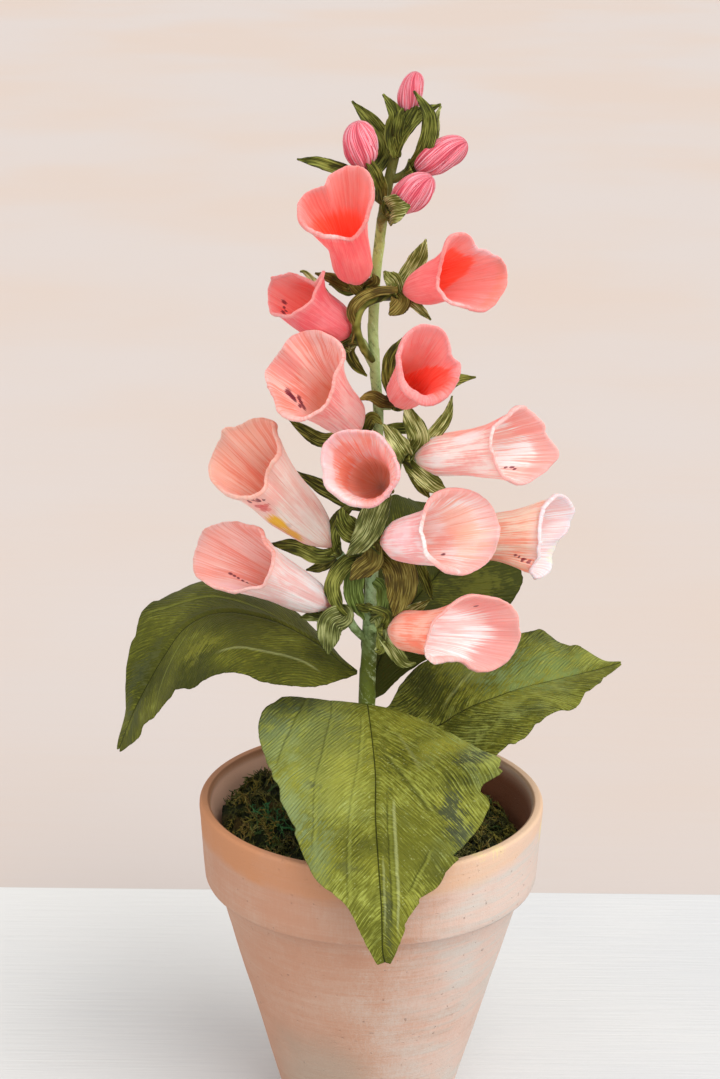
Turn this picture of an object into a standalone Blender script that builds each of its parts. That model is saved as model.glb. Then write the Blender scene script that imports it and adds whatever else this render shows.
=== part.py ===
# A paper foxglove in a clay pot: a wrapped stem with four broad leaves, twelve rolled
# bells with green calyxes and four pleated buds, standing in moss over a block of foam.
# Lengths in the tables are millimetres; the origin is the middle of the pot's foot,
# +Z is up and -Y is the side that the flowers face.

import math
from dataclasses import dataclass

import bmesh
import bpy
from mathutils import Vector

MM = 0.001

# Clearance left between solids that touch, and the thickness of card and crepe paper.
GAP = 0.35
LEAF_THICKNESS = 0.7
BELL_THICKNESS = 0.75
BLADE_THICKNESS = 0.65

# The pot.
POT_HEIGHT = 108.0
POT_RIM_RADIUS = 55.0
POT_LIP_HEIGHT = 27.0
POT_LIP_RADIUS = 53.5
POT_SHOULDER_RADIUS = 49.6
POT_FOOT_RADIUS = 27.4
POT_RIM_WALL = 6.0
POT_FLOOR = 7.0
POT_FLOOR_RADIUS = 22.0
POT_INNER_LIP_RADIUS = 45.2
POT_DRAIN_RADIUS = 6.0
POT_EDGE = 1.4          # rounding of the foot and of the lip's lower edge
POT_TOP_ROUND = 2.2     # rounding of the rim
POT_SIDES = 46

# What fills it.
FOAM_TOP = 88.0
FOAM_SIDES = 28
MOSS_LEVEL = 96.5
MOSS_SIDES = 34
MOSS_RINGS = 8
MOSS_EDGE_DROP = 2.5    # the moss dips where it meets the wall
MERGE = 0.01            # points closer than this are one
STEM_FOOT = 30.0

# The stem, from inside the foam to the topmost bud: (x, y, z, radius).
STEM = [
    (-2.0, 0.0, 30.0, 2.8),
    (-2.0, 0.0, 110.0, 2.8),
    (-1.8, 0.0, 142.0, 2.7),
    (-1.2, 0.0, 160.0, 2.4),
    (-0.7, 0.0, 180.0, 2.0),
    (0.0, 0.0, 205.0, 1.8),
    (0.7, 0.0, 232.0, 1.6),
    (-0.6, 0.0, 250.0, 1.6),
    (-1.2, 0.0, 262.0, 1.6),
    (-0.6, 0.0, 278.0, 1.6),
    (0.9, 0.0, 292.0, 1.6),
    (2.4, 0.0, 303.0, 1.6),
    (4.8, 0.0, 314.0, 1.4),
    (6.3, 0.0, 321.0, 1.3),
]
STEM_SIDES = 10
STEM_RINGS = 22
STALK_RADIUS = 1.0
STALK_STRAIGHT = 1.8   # the last stretch runs straight into the calyx
STALK_SIDES = 6


@dataclass
class Bell:
    base: tuple          # where the tube closes on its calyx
    mouth: tuple         # middle of the open mouth
    base_radius: float   # blunt tubes have a wide base, tapered ones a narrow base
    waist_radius: float
    stalk: list          # from the stem towards the calyx
    tips: list           # the tips of the sepals
    lip: list            # round the lip: (turn from the far side, share of the length, radius)
    colour: str = "bell_pale"


BELLS = {
    "a": Bell((-5.7, -6, 276.2), (-11.5, -22, 300), 4.6, 6,
              [(-0.7, 0, 271)],
              [(-18.5, -5, 281), (-14, -12, 275.6), (-23, 2, 279)],
              [(0, 1.2, 10), (20, 1.2, 6.5), (50, 1.1, 11.5), (80, 1.1, 11.5), (105, 1.05, 11),
               (135, 0.97, 8.5), (180, 0.78, 4.5), (220, 0.8, 5.5), (245, 0.9, 7.5), (275, 1.1, 10.5),
               (310, 1.2, 13), (335, 1.2, 12.5)],
              "bell_coral"),
    "b": Bell((7.3, -7, 273.7), (27, -24, 283.6), 3.2, 5.6,
              [(-0.8, 0, 251), (-4, -4.5, 256), (-6.2, -6.5, 263), (-4.6, -8, 269.4), (0, -8.8, 272.4)],
              [(14, -8, 289), (2, -12, 282), (3, -12, 266), (16, -9, 265)],
              [(0, 1.25, 5.5), (25, 1.15, 6.5), (50, 1.05, 7), (70, 1.05, 10.5), (90, 1, 12),
               (105, 0.9, 10.5), (125, 0.75, 6.5), (150, 0.7, 5.5), (180, 0.75, 8), (210, 0.8, 9.5),
               (240, 0.9, 10), (270, 0.95, 12), (300, 1.05, 12), (330, 1.12, 11.5)],
              "bell_coral"),
    "c": Bell((-8.1, -1.6, 259.1), (-27.4, -6.9, 273.4), 4.4, 7.2,
              [(-0.9, 0, 249)],
              [(-12, -5, 252), (-13, 10, 268)],
              [(0, 1.15, 6), (30, 1.05, 9.5), (60, 0.97, 9), (100, 0.92, 7), (140, 0.88, 7.2),
               (175, 0.85, 9), (200, 0.8, 9.5), (222, 0.82, 11), (238, 0.88, 15.5), (250, 0.8, 8.5),
               (275, 0.93, 6.5), (300, 1.08, 5.5), (330, 1.15, 4)],
              "bell_coral"),
    "d": Bell((6.4, -5, 240.3), (14.1, -33, 258.2), 3.8, 6.2,
              [(0.4, 0, 237)],
              [(-5, -7, 242.6), (4.5, -13, 260), (30, -6, 248)],
              [(0, 1.1, 10.5), (30, 1.08, 11), (60, 1.03, 10), (90, 1, 8.5), (120, 0.95, 8),
               (150, 0.9, 8.5), (180, 0.88, 9.5), (210, 0.88, 10.5), (240, 0.92, 10.5), (270, 1, 10),
               (292, 1.05, 9.8), (305, 1.08, 7.4), (325, 1.1, 7.5)],
              "bell_coral"),
    "e": Bell((-4.8, -4, 230.5), (-23, -20, 252.5), 4.4, 7.4,
              [(0.4, 0, 224)],
              [(-12, 8, 236), (-9, -11, 228)],
              [(0, 1.1, 9), (30, 1, 12.5), (60, 1.05, 11), (90, 0.95, 11), (110, 0.9, 12.5),
               (135, 0.82, 12.5), (155, 0.78, 11.5), (180, 0.75, 9.5), (210, 0.78, 9),
               (240, 0.85, 10.5), (265, 0.85, 13), (290, 0.9, 14), (315, 0.97, 14.5), (340, 1.05, 13)]),
    "f": Bell((2, -6, 213), (-5.6, -37, 227.6), 3.8, 6.6,
              [(0.2, 0, 207)],
              [(10, -10, 208), (-9, -3, 208)],
              [(0, 1.12, 11), (30, 1.1, 11.5), (60, 1.1, 10), (90, 1.05, 10), (120, 1, 9.8),
               (150, 0.92, 9.8), (180, 0.88, 10.5), (210, 0.9, 11), (240, 0.98, 12.2),
               (270, 1.02, 11.4), (300, 1.05, 12), (330, 1.1, 11)]),
    "g": Bell((11.4, -4, 221.7), (45, -13, 228), 4.8, 7,
              [(0.4, 0, 213), (6, -2, 217)],
              [(11, 2, 240), (15, 4, 236), (23, -8, 242), (4, -13, 234), (21, -9, 211)],
              [(0, 1.12, 10.5), (25, 1.1, 10.5), (50, 1.05, 11.5), (80, 1, 12.5), (100, 0.92, 12),
               (120, 0.8, 10.5), (150, 0.77, 10.5), (180, 0.78, 9.5), (210, 0.8, 9), (240, 0.85, 9.5),
               (270, 0.92, 11), (295, 1, 12.5), (315, 1.12, 13.5), (332, 1.2, 13.5), (347, 1.15, 11.5)]),
    "h": Bell((-12.9, -4, 192.7), (-39.4, -13, 223.4), 2.8, 7.8,
              [(-0.7, 0, 184), (-6, -2, 187)],
              [(-31, -5, 195.4), (-8, -11, 208), (-19, 5, 186)],
              [(0, 1.22, 6), (30, 1.1, 12), (60, 1.05, 14), (90, 0.95, 12), (120, 0.9, 11),
               (150, 0.87, 11.5), (175, 0.85, 11), (200, 0.87, 8.5), (225, 0.93, 11),
               (250, 0.95, 11.5), (270, 1, 12), (285, 1.05, 14), (300, 1.1, 12.5), (330, 1.15, 9)]),
    "i": Bell((1.5, -8, 195.9), (25, -20, 202.4), 3.6, 7.6,
              [(-0.2, -1, 189)],
              [(-8, -13, 186)],
              [(0, 1.25, 13.5), (30, 1.15, 14.5), (60, 0.95, 14.5), (90, 0.8, 12.5), (120, 0.7, 10),
               (150, 0.7, 8.5), (180, 0.75, 10.5), (210, 0.85, 11.5), (240, 0.95, 11.5),
               (270, 1.05, 12), (300, 1.2, 12), (330, 1.3, 10)]),
    "j": Bell((13, 6, 192), (57.6, 7, 194.6), 3.4, 6.8,
              [(-0.2, 0.5, 187), (5, 3, 189.5)],
              [(10, 10, 183), (15, 13, 200)],
              [(0, 1.1, 9), (30, 1.12, 11), (60, 1.05, 12), (90, 0.97, 12), (120, 0.89, 11),
               (150, 0.85, 10.5), (180, 0.85, 10.5), (210, 0.83, 10), (230, 0.78, 12),
               (250, 0.85, 13.5), (270, 0.93, 12), (300, 0.96, 8.5), (330, 1.02, 6)]),
    "k": Bell((-12.7, -4, 173.1), (-41.6, -14, 192), 2.8, 6.6,
              [(-1.2, 0, 160), (-6, -2.2, 166)],
              [(-28.5, -5, 173.4), (-15, -10, 161), (-19, 6, 170)],
              [(0, 1.28, 10.5), (30, 1.22, 14), (60, 1.2, 13.5), (90, 1.1, 11.5), (120, 0.97, 10),
               (150, 0.88, 9), (180, 0.8, 10), (205, 0.83, 12), (230, 0.85, 11.5), (255, 0.92, 10),
               (270, 0.98, 11.5), (300, 1.05, 11), (330, 1.2, 10.5)]),
    "l": Bell((4.2, -7, 167.1), (29, -18, 169.6), 5, 6.8,
              [(-1, 0, 161)],
              [(-3, -12, 174), (0, -13, 157), (10, -10, 156), (17, -4, 177)],
              [(0, 1.45, 12), (30, 1.34, 13), (60, 1.15, 12.5), (90, 0.98, 12), (120, 0.75, 10),
               (150, 0.66, 9.5), (180, 0.6, 9), (205, 0.6, 10), (225, 0.68, 10), (245, 0.82, 8),
               (260, 0.95, 8.5), (275, 1.08, 12), (300, 1.25, 14.5), (330, 1.4, 13.5)]),
}
BELL_SIDES = 18
BELL_RINGS = [0.0, 0.05, 0.2, 0.45, 0.72, 0.9, 1.0]
LIP_CURL = 1.0
BELL_CLOSE = 0.18       # share of the length over which the tube opens out of its base
BELL_WAIST = 0.55       # share at which it reaches the waist's width
FLARE_FROM = 0.45
FLARE_POWER = 1.8
SLANT_POWER = 1.2
CURL_FROM = 0.88
CUP_LENGTH = 3.6
CUP_RADIUS = 2.1
SEPAL_WIDTH = 4.2
SEPAL_SPREAD = 0.1


@dataclass
class Bud:
    base: tuple
    tip: tuple
    radius: float
    stalk: list
    tips: list


BUDS = {
    "1": Bud((7.4, -0.4, 325.4), (10.6, -3, 338), 3.5,
             [], [(-1, -4, 331.6), (18, 1.5, 329.5), (11.6, -6.8, 330.6), (4, 3.4, 333)]),
    "2": Bud((-5, -5, 310), (-6.3, -8, 324.3), 5.1,
             [(1.6, 0, 299)], [(-24, -5, 313), (-8, 4, 318)]),
    "3": Bud((10.6, -1, 309.4), (25.5, -5, 318.1), 4.6,
             [(3.1, 0, 306)], [(19.6, -3, 306.6), (15, 3.4, 318)]),
    "4": Bud((4.4, -7, 298.4), (15.3, -12, 309), 4.7,
             [(0.7, 0, 291)], [(9.6, -15, 300.8), (2.6, -12, 303), (13, -3.4, 300.6)]),
}
BUD_SIDES = 12
BUD_RINGS = 7
BUD_PLEATS = 6
BUD_PLEAT_DEPTH = 0.07

# Bracts that grow from the stem itself: points along each, then its width.
BRACTS = [
    ([(2.4, 0.0, 311), (-2, 4, 322), (-8, 5, 328)], 4.8),
    ([(2.2, -0.6, 300), (-1.2, -7, 304), (-5, -13, 312.5)], 4.4),
    ([(0.6, 0.3, 227), (-13, 4, 229), (-26, 3, 234)], 5.6),
    ([(0.0, 0.2, 204), (-12, 3, 209), (-24.5, 4, 214.6)], 6.0),
    ([(-0.5, -0.6, 190.4), (-3.0, -4.0, 197.9), (0.4, -9, 207)], 8.2),
    ([(-0.6, -0.8, 186), (6, -7, 186), (9.6, -11.4, 175.4)], 9.6),
    ([(-1.0, -0.6, 185), (-8.5, -8, 187.4), (-13, -10.5, 182), (-9.8, -9.5, 173)], 6.6),
    ([(-0.9, -0.6, 170), (-6.5, -6.5, 177.6), (-6.6, -7.6, 184.6)], 6.6),
    ([(-0.9, -0.4, 164), (-2, -5, 170), (-2.7, -6.5, 175)], 3.4),
    ([(-0.7, 0.5, 178), (15, 4, 178), (20, -2, 184)], 4.8),
]


@dataclass
class Leaf:
    """A leaf is held between three curves: its midrib and its two edges."""
    midrib: list
    left: list
    right: list
    arch: float = 0.0     # how far each half bellies out between midrib and edge
    up: tuple = (0, 0, 1)
    ripple: float = 0.8
    ripples: int = 5


LEAVES = {
    "front": Leaf(
        midrib=[(-1.6, -3.4, 140.4), (0, -21, 135), (1, -34, 129), (1, -46, 122),
                (2, -59, 112), (3, -66.5, 101), (3.4, -70, 90), (4.2, -70.6, 86)],
        left=[(-2.6, -3.4, 140.6), (-12, -3.4, 141.5), (-27, -4, 143), (-33, -9, 141), (-35, -14, 138),
              (-34, -24, 133), (-33, -30, 130), (-28, -36, 127), (-27.5, -39, 125), (-24, -48, 119.5),
              (-20, -56, 113.5), (-15, -62, 107), (-7, -67, 102), (-2, -70, 93), (2, -70.8, 85.2)],
        right=[(-0.6, -3.4, 140.4), (5, -6, 140.2), (15, -12, 139.2), (23, -20, 138), (31, -28, 137),
               (39.5, -36, 135.5), (38.5, -37, 132), (34, -38, 128.5), (35, -41, 124.5), (33, -45, 120.5),
               (30, -51, 115.5), (26, -55.5, 112.6), (22, -58.5, 110), (19, -62, 106), (14, -66, 103),
               (10, -69, 96.5), (7.5, -70.8, 90), (5.8, -70.8, 85.6)],
        arch=1.6),
    "left": Leaf(
        midrib=[(-5.0, -1.2, 150.6), (-9, -1.6, 153), (-15, -1, 158), (-22, 1, 162), (-29, 3, 165),
                (-36, 4, 167), (-45, 5, 168), (-53, 5, 166.6), (-60, 4.6, 162), (-66, 3, 153.5),
                (-71.5, 1, 144), (-76, -0.8, 135), (-80, -2, 124.4)],
        left=[(-5.0, -2.0, 150.4), (-10, -8, 151), (-15, -14, 152), (-19, -19, 153), (-24, -22, 154),
              (-32, -25, 157), (-41, -27, 160), (-50, -27, 159), (-55, -25, 155), (-60, -23, 152),
              (-65, -19, 146), (-67, -16, 142), (-71, -12, 137), (-73, -9, 132), (-76, -6, 128),
              (-80, -2.8, 123.4)],
        right=[(-5.0, -0.4, 150.8), (-10, 2, 154), (-15, 7, 158), (-23, 15, 163), (-33, 24, 166),
               (-40, 28, 167), (-54, 33, 168), (-65, 32, 165), (-73, 26, 161.5), (-76, 19, 157),
               (-78, 12, 150), (-78.5, 7, 142), (-78.5, 4, 134), (-80.4, 1, 127), (-81, -1.4, 123.6)],
        arch=1.2),
    "right": Leaf(
        midrib=[(1.6, 0.6, 136.6), (10, -0.6, 132.4), (20, 0, 132), (27, 1, 136), (33, 2, 139),
                (39, 3, 141), (46, 5, 143), (54, 7, 144.4), (64, 10.6, 145.6), (73, 13.6, 146.8),
                (79.6, 16, 148)],
        left=[(1.6, 1.4, 136.8), (5, 4.4, 136.6), (7, 8, 138.4), (10, 13, 142), (16, 19, 145),
              (26, 25, 148.6), (37, 30, 150), (48, 33, 151), (55, 34, 152), (61, 31, 149.6),
              (66, 28, 149.4), (70, 24, 148.2), (75, 19, 147.4), (80, 16.6, 148.2)],
        right=[(1.6, -0.2, 136.2), (7, -8, 129.4), (18, -16, 125.6), (29, -22, 127.4), (38, -24.6, 132.6),
               (44, -24, 137), (49, -21.4, 140), (53, -17.4, 142.4), (60, -13, 143), (64, -8.6, 143.8),
               (67, -3.6, 145.4), (72, 3, 146.4), (75, 8.6, 147), (80, 15.4, 147.8)],
        arch=1.0),
    "back": Leaf(
        midrib=[(-1.0, 3.2, 139.6), (2, 8, 151), (8, 17, 161), (15, 28, 166.6), (21, 38, 170), (28, 52, 176),
                (34.2, 68.6, 182.6)],
        left=[(-1.8, 3.2, 139.8), (-3, 9, 151), (-3, 16, 162), (-2.4, 24, 173), (-1, 32, 182),
              (1.4, 40, 190), (5, 46, 193.4), (10, 51, 192.6), (14, 55, 189.6), (22, 62, 186),
              (33.4, 69.4, 183)],
        right=[(-0.2, 3.2, 139.4), (4, 7, 141), (8, 11, 144), (16, 19, 147), (27, 27, 149.6),
               (37, 34, 153.4), (45, 42, 159), (49, 48.4, 164.4), (49.6, 52, 169), (46, 58, 175.6),
               (41, 64, 180), (35, 69.4, 182.4)],
        arch=1.4, up=(0.5, -0.6, 0.6)),
}
LEAF_COLUMNS = 10
LEAF_ROWS = {"front": 20, "left": 14, "right": 13, "back": 12}

COLOURS = {
    "terracotta": ((0.60, 0.33, 0.24), 0.85),
    "foam": ((0.10, 0.13, 0.06), 0.95),
    "moss": ((0.05, 0.07, 0.02), 0.95),
    "stem": ((0.20, 0.30, 0.12), 0.70),
    "leaf": ((0.13, 0.19, 0.05), 0.60),
    "sepal": ((0.16, 0.20, 0.06), 0.65),
    "bell_coral": ((0.90, 0.19, 0.16), 0.60),
    "bell_pale": ((0.93, 0.45, 0.38), 0.60),
    "bud": ((0.85, 0.15, 0.22), 0.55),
}


def clear_scene():
    for item in list(bpy.data.objects):
        bpy.data.objects.remove(item)


def paint(name):
    if name in bpy.data.materials:
        return bpy.data.materials[name]
    colour, roughness = COLOURS[name]
    material = bpy.data.materials.new(name)
    material.use_nodes = True
    shader = material.node_tree.nodes["Principled BSDF"]
    shader.inputs["Base Color"].default_value = (*colour, 1.0)
    shader.inputs["Roughness"].default_value = roughness
    shader.inputs["Metallic"].default_value = 0.0
    return material


def make_object(name, bm, colour, smooth=True):
    """Turn a bmesh in millimetres into an object in metres."""
    bmesh.ops.scale(bm, vec=(MM, MM, MM), verts=bm.verts)
    mesh = bpy.data.meshes.new(name)
    bm.to_mesh(mesh)
    bm.free()
    mesh.materials.append(paint(colour))
    if smooth:
        mesh.shade_smooth()
        mesh.set_sharp_from_angle(angle=math.radians(50))
    item = bpy.data.objects.new(name, mesh)
    bpy.context.scene.collection.objects.link(item)
    return item


def unite(name, pieces, colour):
    """One solid from several that reach into each other."""
    group = bpy.data.collections.new(name + "_pieces")
    bpy.context.scene.collection.children.link(group)
    body = pieces[0]
    for piece in pieces[1:]:
        group.objects.link(piece)
        bpy.context.scene.collection.objects.unlink(piece)
    union = body.modifiers.new("union", "BOOLEAN")
    union.operation = "UNION"
    union.operand_type = "COLLECTION"
    union.collection = group
    union.solver = "MANIFOLD"
    bpy.context.view_layer.update()
    evaluated = body.evaluated_get(bpy.context.evaluated_depsgraph_get())
    mesh = bpy.data.meshes.new_from_object(evaluated)
    body.modifiers.clear()
    body.data = mesh
    body.name = name
    mesh.name = name
    mesh.materials.clear()
    mesh.materials.append(paint(colour))
    for piece in list(group.objects):
        bpy.data.objects.remove(piece)
    bpy.data.collections.remove(group)
    return body


def across(direction, reference):
    """The part of a reference vector that is square to a direction."""
    side = reference - direction * reference.dot(direction)
    if side.length < 1e-4:
        side = direction.orthogonal()
    return side.normalized()


def smooth_curve(points, share):
    """A point on the smooth curve through the given points, by share of its length."""
    points = [Vector(point) for point in points]
    spans = [(b - a).length for a, b in zip(points, points[1:])]
    target = share * sum(spans)
    index = 0
    while index < len(spans) - 1 and target > spans[index]:
        target -= spans[index]
        index += 1
    t = min(max(target / spans[index], 0.0), 1.0)
    before = points[max(index - 1, 0)]
    start = points[index]
    end = points[index + 1]
    after = points[min(index + 2, len(points) - 1)]
    return 0.5 * (2 * start + (end - before) * t
                  + (2 * before - 5 * start + 4 * end - after) * t ** 2
                  + (3 * start - before - 3 * end + after) * t ** 3)


def sheet(columns, rows, place):
    """A grid whose corners are (0, 0) and (1, 1), each point moved by place(u, v)."""
    bm = bmesh.new()
    bmesh.ops.create_grid(bm, x_segments=columns, y_segments=rows, size=0.5)
    for vert in bm.verts:
        vert.co = place(vert.co.x + 0.5, vert.co.y + 0.5)
    return bm


def thicken(item, thickness, offset):
    wall = item.modifiers.new("wall", "SOLIDIFY")
    wall.thickness = thickness * MM
    wall.offset = offset
    return item


def turned(profile, sides):
    """Turn a closed profile of (radius, height) points round the Z axis."""
    bm = bmesh.new()
    verts = [bm.verts.new((radius, 0.0, height)) for radius, height in profile]
    edges = [bm.edges.new((a, b)) for a, b in zip(verts, verts[1:] + verts[:1])]
    bmesh.ops.spin(bm, geom=verts + edges, cent=(0, 0, 0), axis=(0, 0, 1), dvec=(0, 0, 0),
                   angle=math.tau, steps=sides, use_merge=True, use_duplicate=False)
    bmesh.ops.remove_doubles(bm, verts=bm.verts, dist=MERGE)
    bmesh.ops.recalc_face_normals(bm, faces=bm.faces)
    return bm


def tube(points, radii, sides, rings):
    """A capped round tube along a smooth curve; the radius follows the same shares."""
    def place(u, v):
        angle = math.tau * u
        centre = smooth_curve(points, v)
        ahead = smooth_curve(points, min(v + 0.01, 1.0))
        behind = smooth_curve(points, max(v - 0.01, 0.0))
        along = (ahead - behind).normalized()
        first = across(along, Vector((1.0, 0.3, 0.0)))
        second = along.cross(first)
        return centre + (first * math.cos(angle) + second * math.sin(angle)) * radii(v)

    bm = sheet(sides, rings, place)
    bmesh.ops.remove_doubles(bm, verts=bm.verts, dist=MERGE)
    rims = [edge for edge in bm.edges if edge.is_boundary]
    bmesh.ops.holes_fill(bm, edges=rims, sides=sides)
    bmesh.ops.recalc_face_normals(bm, faces=bm.faces)
    return bm


def between(value, low, high):
    return min(max((value - low) / (high - low), 0.0), 1.0)


def blade(name, points, width, facing, colour="sepal", columns=2, rows=4):
    """A lance-shaped slip of paper along a smooth curve, lightly folded on its midline."""
    def place(u, v):
        centre = smooth_curve(points, v)
        ahead = smooth_curve(points, min(v + 0.02, 1.0))
        behind = smooth_curve(points, max(v - 0.02, 0.0))
        along = (ahead - behind).normalized()
        normal = across(along, facing)
        side = along.cross(normal)
        half = 0.5 * width * (0.32 + 0.68 * math.sin(math.pi * min(v / 0.9, 1.0)) ** 0.8)
        half *= 1.0 - 0.8 * between(v, 0.8, 1.0)
        offset = 2.0 * u - 1.0
        return centre + side * half * offset + normal * 0.25 * half * abs(offset)

    bm = sheet(columns, rows, place)
    bmesh.ops.triangulate(bm, faces=bm.faces)
    item = make_object(name, bm, colour)
    return freeze(thicken(item, BLADE_THICKNESS, 0.0))


def freeze(item):
    """Apply an object's modifiers."""
    bpy.context.view_layer.update()
    evaluated = item.evaluated_get(bpy.context.evaluated_depsgraph_get())
    mesh = bpy.data.meshes.new_from_object(evaluated)
    item.modifiers.clear()
    item.data = mesh
    return item


def inner_wall(height):
    """The pot's inner radius at a height."""
    lip = POT_HEIGHT - POT_LIP_HEIGHT
    if height > lip:
        share = (height - lip) / POT_LIP_HEIGHT
        return POT_INNER_LIP_RADIUS + share * (POT_RIM_RADIUS - POT_RIM_WALL - POT_INNER_LIP_RADIUS)
    share = (height - POT_FLOOR) / (lip - POT_FLOOR)
    return POT_FLOOR_RADIUS + share * (POT_INNER_LIP_RADIUS - POT_FLOOR_RADIUS)


def make_pot():
    lip = POT_HEIGHT - POT_LIP_HEIGHT
    round_top = [(POT_RIM_RADIUS - POT_RIM_WALL / 2 * (1 - math.cos(a)),
                  POT_HEIGHT - POT_TOP_ROUND * (1 - math.sin(a)))
                 for a in [math.radians(d) for d in (0, 30, 65, 115, 150, 180)]]
    profile = [(POT_DRAIN_RADIUS, 0.0), (POT_FOOT_RADIUS - POT_EDGE, 0.0), (POT_FOOT_RADIUS, POT_EDGE),
               (POT_SHOULDER_RADIUS, lip), (POT_LIP_RADIUS - POT_EDGE, lip + 0.3 * POT_EDGE),
               (POT_LIP_RADIUS, lip + POT_EDGE)]
    profile += round_top
    profile += [(inner_wall(lip), lip), (POT_FLOOR_RADIUS, POT_FLOOR), (POT_DRAIN_RADIUS, POT_FLOOR)]
    return make_object("pot", turned(profile, POT_SIDES), "terracotta")


def make_foam():
    stem_x = STEM[0][0]
    hole = STEM[0][3] + GAP
    low = POT_FLOOR + GAP
    lip = POT_HEIGHT - POT_LIP_HEIGHT
    outer = [(0.001, low), (inner_wall(low) - GAP - 0.1, low), (inner_wall(lip) - GAP - 0.3, lip),
             (inner_wall(FOAM_TOP) - GAP - 0.3, FOAM_TOP), (0.001, FOAM_TOP)]
    foam = make_object("foam", turned(outer, FOAM_SIDES), "foam")
    bm = bmesh.new()
    bmesh.ops.create_cone(bm, cap_ends=True, segments=16, radius1=hole * 1.02, radius2=hole * 1.02,
                          depth=FOAM_TOP)
    bmesh.ops.translate(bm, verts=bm.verts, vec=(stem_x, 0, STEM_FOOT - GAP + FOAM_TOP / 2))
    drill = make_object("foam_hole", bm, "foam")
    drill.hide_render = True
    drill.display_type = "WIRE"
    cut = foam.modifiers.new("stem hole", "BOOLEAN")
    cut.operation = "DIFFERENCE"
    cut.object = drill
    return foam


def moss_height(x, y):
    """The lumpy top of the moss, highest at the back left."""
    ground = MOSS_LEVEL - 0.035 * x + 0.03 * y
    lumps = 1.7 * math.sin(0.27 * x + 1.1) * math.cos(0.23 * y - 0.4)
    strands = 0.9 * math.sin(0.9 * x + 0.7 * y) + 0.7 * math.cos(0.63 * x - 1.1 * y + 2.0)
    return ground + lumps + strands


def make_moss():
    hole = STEM[0][3] + GAP + 0.05
    stem_x = STEM[0][0]

    def place(u, v):
        angle = math.tau * u
        height = MOSS_LEVEL
        if v < 0.05:
            radius = hole
            centre = stem_x
            height = FOAM_TOP + GAP
        elif v > 0.95:
            radius = inner_wall(FOAM_TOP) - GAP - 0.5
            centre = 0.0
            height = FOAM_TOP + GAP
        else:
            share = (v - 0.1) / 0.8
            edge = inner_wall(MOSS_LEVEL - 3.0) - GAP - 0.4
            radius = hole + (edge - hole) * share
            centre = stem_x * (1.0 - share)
        x = centre + radius * math.cos(angle)
        y = radius * math.sin(angle)
        if 0.05 < v < 0.95:
            height = moss_height(x, y) - MOSS_EDGE_DROP * between(radius, 38.0, 46.0)
        return Vector((x, y, height))

    bm = sheet(MOSS_SIDES, MOSS_RINGS + 2, place)
    bmesh.ops.remove_doubles(bm, verts=bm.verts, dist=MERGE)
    rims = [edge for edge in bm.edges if edge.is_boundary]
    bmesh.ops.bridge_loops(bm, edges=rims)
    bmesh.ops.triangulate(bm, faces=bm.faces)
    bmesh.ops.recalc_face_normals(bm, faces=bm.faces)
    return make_object("moss", bm, "moss")


def stem_radius(share):
    """The stem's radius by share of its length."""
    spans = [(Vector(b[:3]) - Vector(a[:3])).length for a, b in zip(STEM, STEM[1:])]
    target = share * sum(spans)
    for span, start, end in zip(spans, STEM, STEM[1:]):
        if target <= span:
            return start[3] + (end[3] - start[3]) * target / span
        target -= span
    return STEM[-1][3]


def flower_axis(flower, end):
    return (Vector(end) - Vector(flower.base)).normalized()


def make_stem():
    pieces = [make_object("stem_main", tube([point[:3] for point in STEM], stem_radius,
                                            STEM_SIDES, STEM_RINGS), "stem")]
    ends = [(flower, flower.mouth) for flower in BELLS.values()]
    ends += [(flower, flower.tip) for flower in BUDS.values()]
    for number, (flower, far_end) in enumerate(ends):
        if not flower.stalk:
            continue
        axis = flower_axis(flower, far_end)
        base = Vector(flower.base)
        last = base - axis * (CUP_LENGTH + GAP)
        path = list(flower.stalk) + [tuple(last - axis * STALK_STRAIGHT), tuple(last)]
        rings = 2 + 2 * len(flower.stalk)
        pieces.append(make_object("stalk_%d" % number,
                                  tube(path, lambda share: STALK_RADIUS, STALK_SIDES, rings), "stem"))
    for number, (points, width) in enumerate(BRACTS):
        pieces.append(blade("bract_%d" % number, points, width, Vector((0.2, -0.5, 0.9))))
    return unite("stem", pieces, "stem")


def make_leaf(name, leaf):
    up = Vector(leaf.up).normalized()

    def place(u, v):
        middle = smooth_curve(leaf.midrib, v)
        offset = 2.0 * u - 1.0
        edge = smooth_curve(leaf.left if offset < 0 else leaf.right, v)
        reach = abs(offset)
        point = middle.lerp(edge, reach)
        belly = leaf.arch * 4.0 * reach * (1.0 - reach) * math.sin(math.pi * v)
        wave = leaf.ripple * reach ** 2 * math.sin(math.tau * leaf.ripples * v) * math.sin(math.pi * v)
        return point + up * (belly + wave)

    bm = sheet(LEAF_COLUMNS, LEAF_ROWS[name], place)
    bmesh.ops.triangulate(bm, faces=bm.faces)
    item = make_object("leaf_" + name, bm, "leaf")
    return thicken(item, LEAF_THICKNESS, 0.0)


def lip_at(lip, turn):
    """Share of the length and radius of the lip at a turn in degrees, smooth through the table."""
    count = len(lip)
    index = max(number for number in range(count) if lip[number][0] <= turn)
    points = [lip[(index + step) % count] for step in (-1, 0, 1, 2)]
    span = (points[2][0] - points[1][0]) % 360.0
    t = (turn - points[1][0]) / span
    return [0.5 * (2 * b + (c - a) * t + (2 * a - 5 * b + 4 * c - d) * t ** 2
                   + (3 * b - a - 3 * c + d) * t ** 3)
            for a, b, c, d in list(zip(*points))[1:]]


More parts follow.
